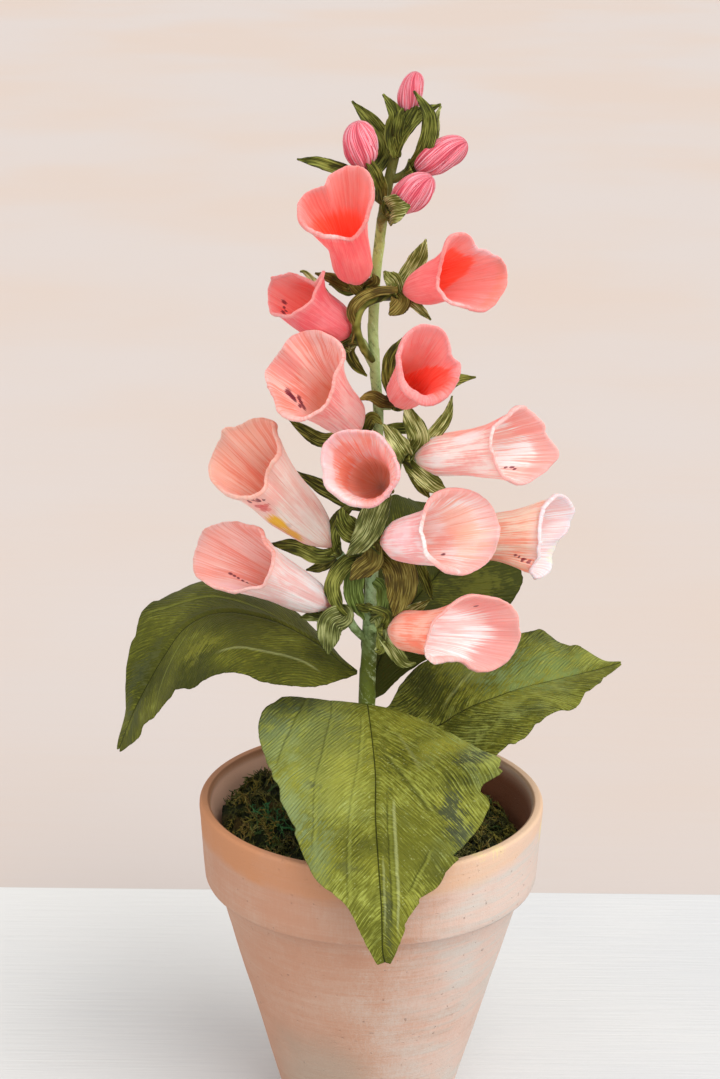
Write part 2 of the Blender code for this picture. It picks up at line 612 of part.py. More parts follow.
def bell_point(bell, turn, share):
    """A point of the rolled tube, by turn round it and share of its length."""
    base = Vector(bell.base)
    axis = flower_axis(bell, bell.mouth)
    length = (Vector(bell.mouth) - base).length
    far = across(axis, Vector((0, 1, 0)))
    side = axis.cross(far)
    angle = math.tau * turn
    lip_reach, lip_radius = lip_at(bell.lip, 360.0 * (turn % 1.0))
    reach = length * share * (1.0 + (lip_reach - 1.0) * share ** SLANT_POWER)
    close = 1.0 - between(share, 0.0, BELL_CLOSE)
    body = bell.base_radius + (bell.waist_radius - bell.base_radius) * math.sin(
        0.5 * math.pi * between(share, 0.0, BELL_WAIST))
    flare = between(share, FLARE_FROM, 1.0) ** FLARE_POWER
    curl = between(share, CURL_FROM, 1.0) ** 2
    radius = body * math.sqrt(1.0 - close ** 2)
    radius += (lip_radius - LIP_CURL - bell.waist_radius) * flare + LIP_CURL * curl
    reach -= 0.5 * LIP_CURL * curl
    return base + axis * reach + (far * math.cos(angle) + side * math.sin(angle)) * radius


def make_bell(name, bell):
    rings = len(BELL_RINGS) - 1

    def place(u, v):
        return bell_point(bell, u, BELL_RINGS[round(v * rings)])

    bm = sheet(BELL_SIDES, rings, place)
    bmesh.ops.remove_doubles(bm, verts=bm.verts, dist=MERGE)
    bmesh.ops.recalc_face_normals(bm, faces=bm.faces)
    middle = Vector(bell.base).lerp(Vector(bell.mouth), 0.5)
    outward = sum(face.normal.dot(face.calc_center_median() - middle) for face in bm.faces)
    if outward < 0:
        bmesh.ops.reverse_faces(bm, faces=bm.faces)
    bmesh.ops.triangulate(bm, faces=bm.faces)
    item = make_object("bell_" + name, bm, bell.colour)
    return thicken(item, BELL_THICKNESS, -1.0)


def make_bud(name, bud):
    base = Vector(bud.base)
    axis = flower_axis(bud, bud.tip)
    length = (Vector(bud.tip) - base).length
    first = across(axis, Vector((0, 1, 0)))
    second = axis.cross(first)

    def place(u, v):
        angle = math.tau * u
        radius = bud.radius * math.sin(math.pi * v ** 0.85) ** 0.75
        radius *= 1.0 + BUD_PLEAT_DEPTH * math.cos(BUD_PLEATS * angle + 1.5 * v)
        return base + axis * length * v + (first * math.cos(angle) + second * math.sin(angle)) * radius

    bm = sheet(BUD_SIDES, BUD_RINGS, place)
    bmesh.ops.remove_doubles(bm, verts=bm.verts, dist=MERGE)
    bmesh.ops.triangulate(bm, faces=bm.faces)
    bmesh.ops.recalc_face_normals(bm, faces=bm.faces)
    return make_object("bud_" + name, bm, "bud")


def make_calyx(name, flower, far_end, shoulder):
    """A small cup behind the flower and the sepals that stand out of it."""
    base = Vector(flower.base)
    axis = flower_axis(flower, far_end)
    foot = base - axis * CUP_LENGTH
    seat = base - axis * GAP
    cup = tube([tuple(foot), tuple(seat)], lambda share: CUP_RADIUS * (0.6 + 0.4 * share), 8, 1)
    pieces = [make_object(name, cup, "sepal")]
    for number, tip in enumerate(flower.tips):
        tip = Vector(tip)
        out = across(axis, tip - base)
        root = base - axis * (0.5 * CUP_LENGTH) + out * 0.6
        bend = base - axis * 1.2 + out * (shoulder + 1.3)
        width = SEPAL_WIDTH + SEPAL_SPREAD * (tip - base).length
        pieces.append(blade("%s_sepal_%d" % (name, number), [tuple(root), tuple(bend), tuple(tip)],
                            width, out * 0.6 - axis * 0.8))
    return unite(name, pieces, "sepal")


def build():
    clear_scene()
    make_pot()
    make_foam()
    make_moss()
    make_stem()
    for name, leaf in LEAVES.items():
        make_leaf(name, leaf)
    for name, bell in BELLS.items():
        make_bell(name, bell)
        make_calyx("calyx_" + name, bell, bell.mouth, bell.base_radius)
    for name, bud in BUDS.items():
        make_bud(name, bud)
        make_calyx("bud_calyx_" + name, bud, bud.tip, 0.7 * bud.radius)


build()
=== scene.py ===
# The potted paper foxglove, dressed: crepe paper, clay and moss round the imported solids.
# Lengths in the tables are millimetres, as in the solids: the origin is under the pot.
import math
import random

import bmesh
import bpy
from mathutils import Matrix, Vector, noise


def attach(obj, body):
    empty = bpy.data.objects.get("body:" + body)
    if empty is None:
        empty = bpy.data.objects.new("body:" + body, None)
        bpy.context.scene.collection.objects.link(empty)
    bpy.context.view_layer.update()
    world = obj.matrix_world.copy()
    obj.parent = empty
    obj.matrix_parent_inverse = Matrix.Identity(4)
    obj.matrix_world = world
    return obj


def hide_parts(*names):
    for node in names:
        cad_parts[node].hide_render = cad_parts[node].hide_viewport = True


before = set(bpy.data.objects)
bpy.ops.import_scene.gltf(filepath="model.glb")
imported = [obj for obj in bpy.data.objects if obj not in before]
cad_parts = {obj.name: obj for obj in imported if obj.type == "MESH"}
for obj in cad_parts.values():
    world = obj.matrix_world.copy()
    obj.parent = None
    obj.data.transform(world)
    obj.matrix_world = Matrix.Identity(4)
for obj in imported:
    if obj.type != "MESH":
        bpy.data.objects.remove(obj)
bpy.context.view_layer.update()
mm = 0.001
tau = math.tau
print("frame loaded:", len(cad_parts), "solids")


# shaders
class Wire:
    # one output of a node, which can be used in sums

    def __init__(self, tree, socket):
        self.tree = tree
        self.socket = socket

    def calc(self, operation, *values):
        node = self.tree.nodes.new("ShaderNodeMath")
        node.operation = operation
        for slot, value in zip(node.inputs, values):
            connect(self.tree, slot, value)
        return Wire(self.tree, node.outputs[0])

    def __add__(self, other):
        return self.calc("ADD", self, other)

    __radd__ = __add__

    def __sub__(self, other):
        return self.calc("SUBTRACT", self, other)

    def __rsub__(self, other):
        return self.calc("SUBTRACT", other, self)

    def __mul__(self, other):
        return self.calc("MULTIPLY", self, other)

    __rmul__ = __mul__

    def __truediv__(self, other):
        return self.calc("DIVIDE", self, other)

    def __pow__(self, other):
        return self.calc("POWER", self, other)

    def size(self):
        return self.calc("ABSOLUTE", self)

    def sine(self):
        return self.calc("SINE", self)

    def cosine(self):
        return self.calc("COSINE", self)

    def least(self, other):
        return self.calc("MINIMUM", self, other)

    def most(self, other):
        return self.calc("MAXIMUM", self, other)

    def step(self, low, high):
        # 0 below low, 1 above high, smooth between
        node = self.tree.nodes.new("ShaderNodeMapRange")
        node.interpolation_type = "SMOOTHSTEP"
        for slot, value in zip(node.inputs, (self, low, high, 0.0, 1.0)):
            connect(self.tree, slot, value)
        return Wire(self.tree, node.outputs[0])

    def near(self, centre, inner, outer):
        # 1 close to the centre, 0 farther from it than outer
        return 1 - (self - centre).size().step(inner, outer)


def connect(tree, slot, value):
    if isinstance(value, Wire):
        tree.links.new(value.socket, slot)
    elif slot.type == "RGBA":
        slot.default_value = (*value, 1.0)
    else:
        slot.default_value = value


def sway(*parts):
    # noises taken round zero, each with its weight, as one sum
    first, *others = [(wire - 0.5) * weight for wire, weight in parts]
    return sum(others, first)


class Finish:
    # a material and the ways to add nodes to it

    def __init__(self, name, roughness=0.6, **fixed):
        self.material = bpy.data.materials.new(name)
        self.material.use_nodes = True
        self.tree = self.material.node_tree
        self.shader = self.tree.nodes["Principled BSDF"]
        self.shader.inputs["Roughness"].default_value = roughness
        for socket, value in fixed.items():
            connect(self.tree, self.shader.inputs[socket.replace("_", " ")], value)

    def node(self, kind, settings=None, values=None, output=0):
        node = self.tree.nodes.new(kind)
        for key, value in (settings or {}).items():
            if key == "stops":
                ramp = node.color_ramp
                while len(ramp.elements) < len(value):
                    ramp.elements.new(1.0)
                for element, (place, colour) in zip(ramp.elements, value):
                    element.position = place
                    element.color = (*colour, 1.0)
            else:
                setattr(node, key, value)
        for key, value in (values or {}).items():
            connect(self.tree, node.inputs[key], value)
        return Wire(self.tree, node.outputs[output])

    def place(self):
        # where a point is on the object, in mm
        where = self.node("ShaderNodeTexCoord", output=3)
        return self.node("ShaderNodeVectorMath", {"operation": "SCALE"}, {0: where, 3: 1000.0})

    def moved(self, place, move):
        return self.node("ShaderNodeVectorMath", {"operation": "ADD"}, {0: place, 1: move})

    def gap(self, place, centre):
        # how far a point is from a centre
        return self.node("ShaderNodeVectorMath", {"operation": "DISTANCE"},
                         {0: place, 1: centre}, output=1)

    def pattern(self, layout="sheet"):
        # where a point is on its own sheet
        return self.parts(self.node("ShaderNodeUVMap", {"uv_map": layout}))

    def parts(self, vector):
        split = self.node("ShaderNodeSeparateXYZ", values={0: vector})
        return [Wire(self.tree, out) for out in split.socket.node.outputs]

    def vector(self, x, y, z):
        return self.node("ShaderNodeCombineXYZ", values={0: x, 1: y, 2: z})

    def speckle(self, vector, scale, detail=2.0, rough=0.5, warp=0.0):
        return self.node("ShaderNodeTexNoise", values={
            "Vector": vector, "Scale": scale, "Detail": detail, "Roughness": rough, "Distortion": warp})

    def wound(self, turn, along, close, *grain):
        # a noise round a tube, without a seam; close: how tightly it is packed round it
        return self.speckle(self.vector(turn.cosine() * close, turn.sine() * close, along), 1.0, *grain)

    def ramp(self, factor, *stops):
        return self.node("ShaderNodeValToRGB", {"stops": stops}, {0: factor})

    def mix(self, factor, first, second, how="MIX"):
        return self.node("ShaderNodeMix", {"data_type": "RGBA", "blend_type": how},
                         {0: factor, 6: first, 7: second}, output=2)

    def done(self, colour, height, depth, roughness=None):
        # depth: how far the relief stands out for a height of 1, in mm
        connect(self.tree, self.shader.inputs["Base Color"], colour)
        if roughness is not None:
            connect(self.tree, self.shader.inputs["Roughness"], roughness)
        bump = self.node("ShaderNodeBump", values={
            "Strength": 1.0, "Distance": depth * mm, "Height": height})
        connect(self.tree, self.shader.inputs["Normal"], bump)
        return self.material


# shapes
def across(direction, reference):
    # the part of a reference vector that is square to a direction
    side = reference - direction * reference.dot(direction)
    if side.length < 1e-4:
        side = direction.orthogonal()
    return side.normalized()


def ringPoint(axis, first, angle, radius):
    # a point on a ring round an axis, seen from its centre
    return (first * math.cos(angle) + axis.cross(first) * math.sin(angle)) * radius


def between(value, low, high):
    return min(max((value - low) / (high - low), 0.0), 1.0)


def ease(value, low, high):
    t = between(value, low, high)
    return t * t * (3 - 2 * t)


def fuzz(x, y, z, seed=0.0):
    return noise.noise(Vector((x + 17.3 * seed, y - 9.1 * seed, z + 4.7 * seed)))


def ringFuzz(angle, close, height, seed):
    # unevenness round a ring, without a seam; close: how tightly it is packed
    return fuzz(math.cos(angle) * close, math.sin(angle) * close, height, seed)


class Path:
    # a smooth curve through points, read by share of its length

    def __init__(self, points):
        self.points = [Vector(point) for point in points]
        self.spans = [(b - a).length for a, b in zip(self.points, self.points[1:])]
        self.length = sum(self.spans)

    def at(self, share):
        points, target, index = self.points, share * self.length, 0
        while index < len(self.spans) - 1 and target > self.spans[index]:
            target -= self.spans[index]
            index += 1
        t = min(max(target / self.spans[index], 0.0), 1.0)
        before, start = points[max(index - 1, 0)], points[index]
        end, after = points[index + 1], points[min(index + 2, len(points) - 1)]
        return 0.5 * (2 * start + (end - before) * t
                      + (2 * before - 5 * start + 4 * end - after) * t ** 2
                      + (3 * start - before - 3 * end + after) * t ** 3)

    def along(self, share, reach=0.02):
        return (self.at(min(share + reach, 1.0)) - self.at(max(share - reach, 0.0))).normalized()


def addSheet(bm, columns, rows, place, look=0, layouts=("sheet",)):
    # a grid with its corners at (0, 0) and (1, 1)
    # place(u, v) gives a point, then its place in each layout; look: which finish of the piece it gets
    for layout in layouts:
        if not bm.loops.layers.uv.get(layout):
            bm.loops.layers.uv.new(layout)
    layers = [bm.loops.layers.uv.get(layout) for layout in layouts]
    made = bmesh.ops.create_grid(bm, x_segments=columns, y_segments=rows, size=0.5)["verts"]
    where = {}
    for vert in made:
        point, *where[vert] = place(vert.co.x + 0.5, vert.co.y + 0.5)
        vert.co = point * mm
    for face in {face for vert in made for face in vert.link_faces}:
        face.material_index = look
        for loop in face.loops:
            for layer, spot in zip(layers, where[loop.vert]):
                loop[layer].uv = spot
    return made


def mergePoints(bm, verts, gap=0.001):
    bmesh.ops.remove_doubles(bm, verts=verts, dist=gap * mm)


def turnOut(bm):
    bmesh.ops.recalc_face_normals(bm, faces=bm.faces)


def closeSeams(bm, gap=0.001):
    # joins points that lie together, then turns the faces outwards
    mergePoints(bm, bm.verts, gap)
    turnOut(bm)


def openEdges(bm):
    return [edge for edge in bm.edges if edge.is_boundary]


def makeMesh(name, bm):
    mesh = bpy.data.meshes.new(name)
    bm.to_mesh(mesh)
    bm.free()
    return mesh


def makeObject(name, mesh, finishes):
    thing = bpy.data.objects.new(name, mesh)
    bpy.context.scene.collection.objects.link(thing)
    for finish in finishes:
        mesh.materials.append(finish)
    return thing


def makePiece(name, bm, finishes, stands=(), wall=None, lining=False):
    # stands: the nodes it stands for; wall: thickness of the paper and the side that it grows to
    mesh = makeMesh(name, bm)
    mesh.shade_smooth()
    piece = makeObject(name, mesh, finishes)
    if wall:
        thick = piece.modifiers.new("paper", "SOLIDIFY")
        thick.thickness = wall[0] * mm
        thick.offset = wall[1]
        thick.material_offset = 1 if lining else 0
    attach(piece, "root")
    if stands:
        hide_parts(*stands)
    return piece


# the pot
pot = dict(height=108.0, rim=55.0, lipHeight=27.0, lip=53.5, shoulder=49.6, foot=27.4, floor=7.0,
           floorRadius=22.0, innerLip=46.2, lipWall=3.2, drain=6.0, roundOut=1.1, roundIn=1.0,
           outOfRound=0.22, turningMarks=0.1, steps=180)
# drops: glue on the rim, where and how wide; stainAt: where the damp is greenest
clayLook = dict(clay=(0.490, 0.258, 0.168), pale=(0.535, 0.358, 0.270), chalk=(0.60, 0.565, 0.52),
                rose=(0.76, 0.50, 0.41), dust=(0.80, 0.62, 0.52), speck=(0.22, 0.13, 0.10),
                # the two colours of the hollow: painted light on its left wall, and painted shade on its
                # right that is partly damp clay
                litInside=(0.94, 0.58, 0.42), shadedDampClay=(0.185, 0.054, 0.018), tan=(0.52, 0.235, 0.115),
                honey=(0.74, 0.46, 0.27), edge=(0.72, 0.50, 0.33), worn=(0.22, 0.10, 0.05),
                # the light line on the rim's lower edge is a painted highlight, and the dark line under
                # it is a painted shadow
                ledgeHighlight=(0.70, 0.56, 0.48), ledgeShadow=(0.26, 0.15, 0.11), stain=(0.34, 0.33, 0.27),
                stainAt=(-17.0, -33.0, 18.0), glue=(0.76, 0.62, 0.30), relief=0.3,
                drops=[((37.0, -37.0, 107.5), 3.8), ((32.0, -41.5, 107.8), 2.6),
                       ((53.7, -9.4, 101.0), 4.6)])


def innerWall(height):
    # the radius of the hollow at a height
    lip = pot["height"] - pot["lipHeight"]
    if height > lip:
        share = (height - lip) / pot["lipHeight"]
        return pot["innerLip"] + share * (pot["rim"] - pot["lipWall"] - pot["innerLip"])
    share = (height - pot["floor"]) / (lip - pot["floor"])
    return pot["floorRadius"] + share * (pot["innerLip"] - pot["floorRadius"])


def clayFinish():
    look = clayLook
    top, lip, innerRim = pot["height"], pot["height"] - pot["lipHeight"], pot["rim"] - pot["lipWall"]
    clay = Finish("limeWashedClay", roughness=0.85, Specular_IOR_Level=0.18)
    place = clay.place()
    x, y, z = clay.parts(place)
    strokes = clay.speckle(clay.vector(x * 0.03, y * 0.03, z * 0.35), 1.0, 4.0, 0.6)
    bristles = clay.speckle(clay.vector(x * 0.05, y * 0.05, z * 1.5), 1.0, 3.0, 0.6)
    drips = clay.speckle(clay.vector(x * 1.5, y * 1.5, z * 0.10), 1.0, 3.0, 0.6)
    cloud = clay.speckle(place, 0.035, 5.0, 0.6)
    grit = clay.speckle(place, 2.0, 3.0, 0.7)
    specks = clay.speckle(place, 0.75, 1.0)
    squared = x * x + y * y
    inside = 1 - squared.step((innerRim - 0.6) ** 2, (innerRim + 0.2) ** 2)
    inside = inside * z.step(lip + 1.5, lip + 3)
    outside = 1 - inside
    # brushed lime wash, whiter towards the right
    wash = sway((strokes, 0.6), (cloud, 1.6), (bristles, 0.6), (drips, 0.5), (grit, 1.0))
    wash = (wash + 0.46 + x * 0.004).step(0.0, 1.0)
    colour = clay.mix(wash, look["clay"], look["pale"])
    film = sway((strokes, 0.4), (bristles, 0.5), (drips, 0.5), (cloud, 1.7), (grit, 0.8))
    chalky = (film + x * 0.028 - 0.06 - inside).step(-0.25, 1.15)
    colour = clay.mix(chalky * 0.85, colour, look["chalk"])
    rosy = ((strokes - 0.42) * 8 + (cloud - 0.5) * 5).near(0.0, 0.0, 1.4)
    colour = clay.mix(rosy * x.step(-5.0, 30.0) * outside * 0.4, colour, look["rose"])
    colour = clay.mix(grit.step(0.45, 0.75) * 0.22, colour, look["dust"], "MULTIPLY")
    colour = clay.mix((specks + (grit - 0.5) * 0.3).step(0.76, 0.80) * 0.5, colour, look["speck"])
    # inside, the clay is dark: partly damp clay, partly painted shade towards the right; painted light
    # makes it lighter towards the top and the left
    insideShade = (x + (cloud - 0.5) * 30).step(-42.0, 10.0) * (1 - z.step(top - 6, top + 1) * 0.6)
    colour = clay.mix(inside * 0.9, colour, clay.mix(insideShade, look["litInside"], look["shadedDampClay"]))
    # bare clay shows in a band under the edge of the rim; the flat top of the rim is lighter, partly bare
    # clay and partly a painted highlight that grows towards the right
    below = z - (x + 8) * (x + 8) * 0.0016 + sway((cloud, 9), (strokes, 5), (grit, 1.5))
    bare = below.step(top - 14, top - 10) * (0.65 + cloud.step(0.4, 0.6) * 0.3) * (1 - chalky * 0.35)
    colour = clay.mix(bare * outside, colour, clay.mix(x.step(-24.0, 42.0), look["tan"], look["honey"]))
    edge = (z + (drips - 0.5) * 1.2).step(top - 1.4, top - 0.4) * outside * x.step(-40.0, 45.0)
    colour = clay.mix(edge * 0.6, colour, look["edge"])
    worn = (squared ** 0.5).near(innerRim + 0.4, 0.1, 0.5) * z.step(top - 2, top - 1)
    colour = clay.mix(worn * 0.6, colour, look["worn"])
    # a painted highlight along the lower edge of the rim, with a painted shadow just under it
    ledgeHighlight = (z + (grit - 0.5) * 1.6).near(lip + 1.6, 0.2, 1.0) * cloud.step(0.48, 0.62)
    colour = clay.mix(ledgeHighlight * x.step(-40.0, -15.0) * 0.35, colour, look["ledgeHighlight"])
    ledgeShadow = z.near(lip + 0.2, 0.3, 1.0) * (0.35 + strokes.step(0.4, 0.6) * 0.4)
    colour = clay.mix(ledgeShadow, colour, look["ledgeShadow"])
    # grey-green damp low on the left, glue on the right of the rim
    stained = 1 - (clay.gap(place, look["stainAt"]) + (cloud - 0.5) * 30).step(8, 30)
    colour = clay.mix(stained * 0.5, colour, look["stain"])
    ragged = sway((cloud, 12), (drips, 6), (bristles, 4), (grit, 4))
    for centre, reach in look["drops"]:
        glued = 1 - (clay.gap(place, centre) + ragged).step(reach * 0.45, reach)
        colour = clay.mix(glued * 0.6, colour, look["glue"])
    height = strokes * 0.3 + bristles * 0.3 + grit * 0.5 - specks.step(0.70, 0.80) * 0.5
    return clay.done(colour, height, look["relief"], 0.72 + wash * 0.2)


def makePot(finish):
    top, rim, shoulder, foot = pot["height"], pot["rim"], pot["shoulder"], pot["foot"]
    lip, lipFrom, drain, floor = pot["lip"], top - pot["lipHeight"], pot["drain"], pot["floor"]
    # half outline: from the drain hole out over the foot, up to the rim and down the hollow
    outline = [(drain, 0.6), (drain + 0.8, 0.0), (foot - 1.4, 0.0), (foot - 0.4, 0.4), (foot, 1.4)]
    outline += [(foot + (shoulder - foot) * (h - 1.4) / (lipFrom - 1.4), h)
                for h in range(5, int(lipFrom), 4)]
    outline += [(shoulder - 0.15, lipFrom - 0.6), (shoulder + 0.35, lipFrom + 0.05),
                (lip - 1.4, lipFrom + 0.4), (lip - 0.4, lipFrom + 0.9), (lip, lipFrom + 1.8)]
    outline += [(lip + (rim - lip) * k / 7, lipFrom + 1.8 + (pot["lipHeight"] - 4.0) * k / 7)
                for k in range(1, 8)]
    # the lip is flat on top, with a small round on each side
    large, small, inner = pot["roundOut"], pot["roundIn"], rim - pot["lipWall"]
    turns = [math.radians(15 * k) for k in range(7)]
    outline += [(rim - large * (1 - math.cos(a)), top - large * (1 - math.sin(a))) for a in turns]
    outline += [(inner + small * (1 - math.sin(a)), top - small * (1 - math.cos(a))) for a in turns]
    outline += [(innerWall(h), h) for h in (104, 101, 98, 94, 90, 86, 82, 80, 60, 40, 20)]
    outline += [(pot["floorRadius"], floor + 0.6), (pot["floorRadius"] - 1, floor),
                (drain + 0.8, floor), (drain, floor - 0.6)]
    bm = bmesh.new()
    ring = [bm.verts.new((r * mm, 0.0, h * mm)) for r, h in outline]
    edges = [bm.edges.new(pair) for pair in zip(ring, ring[1:] + ring[:1])]
    bmesh.ops.spin(bm, geom=ring + edges, cent=(0, 0, 0), axis=(0, 0, 1), dvec=(0, 0, 0),
                   angle=tau, steps=pot["steps"], use_merge=True, use_duplicate=False)
    closeSeams(bm, 0.01)
    # thrown by hand: slightly out of round, with turning marks
    for vert in bm.verts:
        x, y, z = vert.co / mm
        swell = pot["outOfRound"] * fuzz(x / 28, y / 28, z / 22)
        swell += pot["turningMarks"] * fuzz(x / 90, y / 90, z / 2.2, 3)
        grow = 1 + swell / max(math.hypot(x, y), 8)
        vert.co.x *= grow
        vert.co.y *= grow
    makePiece("pot_clay", bm, [finish], ["pot"])


makePot(clayFinish())
print("pot made")


# foam and moss
foamLook = dict(dark=(0.05, 0.075, 0.03), light=(0.12, 0.16, 0.07))
# teal: a spot of sea green, where and how wide; the pairs are ranges
moss = dict(level=96.5, hole=3.2, stemX=-2.0, sides=96, rings=30, bottom=88.4, spread=47.5, tufts=1040,
            batches=26, seed=11, teal=(-27.0, -4.0, 9.0), reach=(3.0, 8.5), swirl=(-2.2, 2.2),
            lift=(0.8, 3.4), thick=(0.26, 0.60), shoot=(1.0, 1.8), shootLift=(0, 0.5),
            dark=(0.008, 0.011, 0.003), green=(0.045, 0.060, 0.007), olive=(0.215, 0.180, 0.026),
            brown=(0.180, 0.105, 0.026), sea=(0.026, 0.165, 0.055), pale=(0.34, 0.31, 0.11))


def mossHeight(x, y):
    ground = moss["level"] - 0.035 * x + 0.03 * y
    lumps = 1.7 * math.sin(0.27 * x + 1.1) * math.cos(0.23 * y - 0.4)
    strands = 0.9 * math.sin(0.9 * x + 0.7 * y) + 0.7 * math.cos(0.63 * x - 1.1 * y + 2.0)
    heap = 4.5 * ease(-x, 12.0, 40.0)
    return ground + lumps + strands + heap - 2.0 * between(math.hypot(x, y), 40.0, 48.0)


def foamFinish():
    foam = Finish("wetFoam", roughness=0.95)
    grain = foam.speckle(foam.place(), 2.5, 4.0, 0.7)
    return foam.done(foam.ramp(grain, (0.3, foamLook["dark"]), (0.7, foamLook["light"])), grain, 0.4)


def mossFinish():
    bed = Finish("driedMoss", roughness=0.9, Specular_IOR_Level=0.25)
    place = bed.place()
    tangle = bed.speckle(place, 0.9, 5.0, 0.7, 1.2)
    patch = bed.speckle(place, 0.09, 3.0)
    colour = bed.mix(tangle.step(0.4, 0.7), moss["dark"], moss["green"])
    colour = bed.mix(patch.step(0.5, 0.7) * 0.6, colour, moss["brown"])
    return bed.done(colour, tangle, 1.2)


def strandFinish():
    strand = Finish("mossStrand", roughness=0.75, Specular_IOR_Level=0.3)
    tint, along, unused = strand.pattern()
    place = strand.place()
    colour = strand.ramp(tint, (0.0, moss["dark"]), (0.35, moss["green"]), (0.58, moss["olive"]),
                         (0.76, moss["brown"]), (0.88, moss["green"]), (0.95, moss["sea"]))
    colour = strand.mix(along * 0.3, colour, moss["olive"])
    tips = strand.speckle(place, 0.18, 2.0)
    colour = strand.mix(along * tips.step(0.56, 0.66) * 0.6, colour, moss["pale"])
    return strand.done(colour, strand.speckle(place, 4.0, 3.0), 0.1)


def makeMossBed(finish):
    def place(u, v):
        angle = tau * u
        if v < 0.02 or v > 0.98:
            # the first and last rings lie on the foam
            radius = moss["hole"] if v < 0.02 else innerWall(moss["bottom"]) - 0.9
            centre = moss["stemX"] if v < 0.02 else 0.0
            x, y = centre + radius * math.cos(angle), radius * math.sin(angle)
            return Vector((x, y, moss["bottom"])), (u, v)
        share = (v - 1 / moss["rings"]) / (1 - 2 / moss["rings"])
        radius = moss["hole"] + (innerWall(93.5) - 0.8 - moss["hole"]) * share
        x = moss["stemX"] * (1 - share) + radius * math.cos(angle)
        y = radius * math.sin(angle)
        lump = 0.8 * fuzz(x / 3, y / 3, 0.0, 5) + 0.5 * fuzz(x / 1.2, y / 1.2, 0.0, 7)
        return Vector((x, y, mossHeight(x, y) + lump - 0.4)), (u, v)

    bm = bmesh.new()
    addSheet(bm, moss["sides"], moss["rings"], place)
    mergePoints(bm, bm.verts, 0.01)
    bmesh.ops.bridge_loops(bm, edges=openEdges(bm))
    turnOut(bm)
    makePiece("moss_bed", bm, [finish], ["moss"])


def addShoot(bm, points, thick, tint, rings):
    # a three-sided shoot that thins towards its tip
    line = Path(points)

    def place(u, v):
        ahead = line.along(v)
        first = across(ahead, Vector((0.1, 0.2, 1)))
        return line.at(v) + ringPoint(ahead, first, tau * u, thick * (1 - 0.8 * v)), (tint, v)

    addSheet(bm, 3, rings, place)


def addTuft(bm, dice, x, y, room):
    # one curved strand with its side shoots, which stays within the room that the pot leaves
    heading = tau * dice.random()
    reach = dice.uniform(*moss["reach"])
    swirl = dice.uniform(*moss["swirl"])
    lift = dice.uniform(*moss["lift"]) + 2.4 * max(fuzz(x / 9, y / 9, 0.0, 2), 0.0)
    thick = dice.uniform(*moss["thick"])
    tint = 0.45 + 1.1 * fuzz(x / 7, y / 7, 0.0, 4) + dice.uniform(-0.25, 0.25)
    tint = min(max(tint, 0.0), 0.9)
    tealX, tealY, tealReach = moss["teal"]
    if math.hypot(x - tealX, y - tealY) < tealReach * dice.uniform(0.3, 1.0):
        tint = 1.0
    points = []
    for k in range(6):
        height = mossHeight(x, y) - 0.6 + lift * math.sin(math.pi * k / 6)
        points.append((x, y, height + dice.uniform(-0.3, 0.4)))
        x += reach / 5 * math.cos(heading + swirl * k / 5)
        y += reach / 5 * math.sin(heading + swirl * k / 5)
        if math.hypot(x, y) > room - 1.2:
            x *= 0.96
            y *= 0.96
    addShoot(bm, points, thick, tint, 6)
    line = Path(points)
    # side shoots to the left and right in turn, shorter towards the tip, like a feather
    for k in range(7):
        share = 0.16 + 0.12 * k
        start, ahead = line.at(share), line.along(share)
        out = ahead.cross(across(ahead, Vector((0.0, 0.0, 1.0)))) * (1 if k % 2 else -1)
        way = ahead * 0.9 + out + Vector((0, 0, dice.uniform(*moss["shootLift"])))
        tip = start + way * dice.uniform(*moss["shoot"]) * (1.2 - 0.6 * share)
        if math.hypot(tip.x, tip.y) < room - 0.6:
            addShoot(bm, [start, start.lerp(tip, 0.6) + out * 0.15, tip], thick * 0.62, tint, 2)


def makeStrands(finish):
    dice = random.Random(moss["seed"])
    room = innerWall(93)
    whole = bmesh.new()
    for batch in range(moss["batches"]):
        bm = bmesh.new()
        for tuft in range(moss["tufts"] // moss["batches"]):
            radius = moss["spread"] * math.sqrt(dice.random())
            turn = tau * dice.random()
            x, y = radius * math.cos(turn), radius * math.sin(turn)
            # none in the stem or in the wall
            if math.hypot(x - moss["stemX"], y) >= moss["hole"] + 1 and radius <= room - 1.5:
                addTuft(bm, dice, x, y, room)
        mergePoints(bm, bm.verts)
        bmesh.ops.holes_fill(bm, edges=openEdges(bm), sides=3)
        turnOut(bm)
        part = makeMesh("batch", bm)
        whole.from_mesh(part)
        bpy.data.meshes.remove(part)
    makePiece("moss_strands", whole, [finish])


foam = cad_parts["foam"]
foam.data.materials.clear()
foam.data.materials.append(foamFinish())
makeMossBed(mossFinish())
makeStrands(strandFinish())
print("moss made")


# leaves
leafLook = dict(paper=0.45, ridge=1.05, relief=0.30,
                dark=(0.036, 0.042, 0.003), mid=(0.128, 0.136, 0.012), light=(0.290, 0.322, 0.060),
                yellow=(0.29, 0.290, 0.030), bluishSheen=(0.200, 0.268, 0.120), fresh=(0.185, 0.270, 0.085),
                soot=(0.046, 0.058, 0.034), rib=(0.020, 0.025, 0.003), glint=(0.42, 0.46, 0.20))
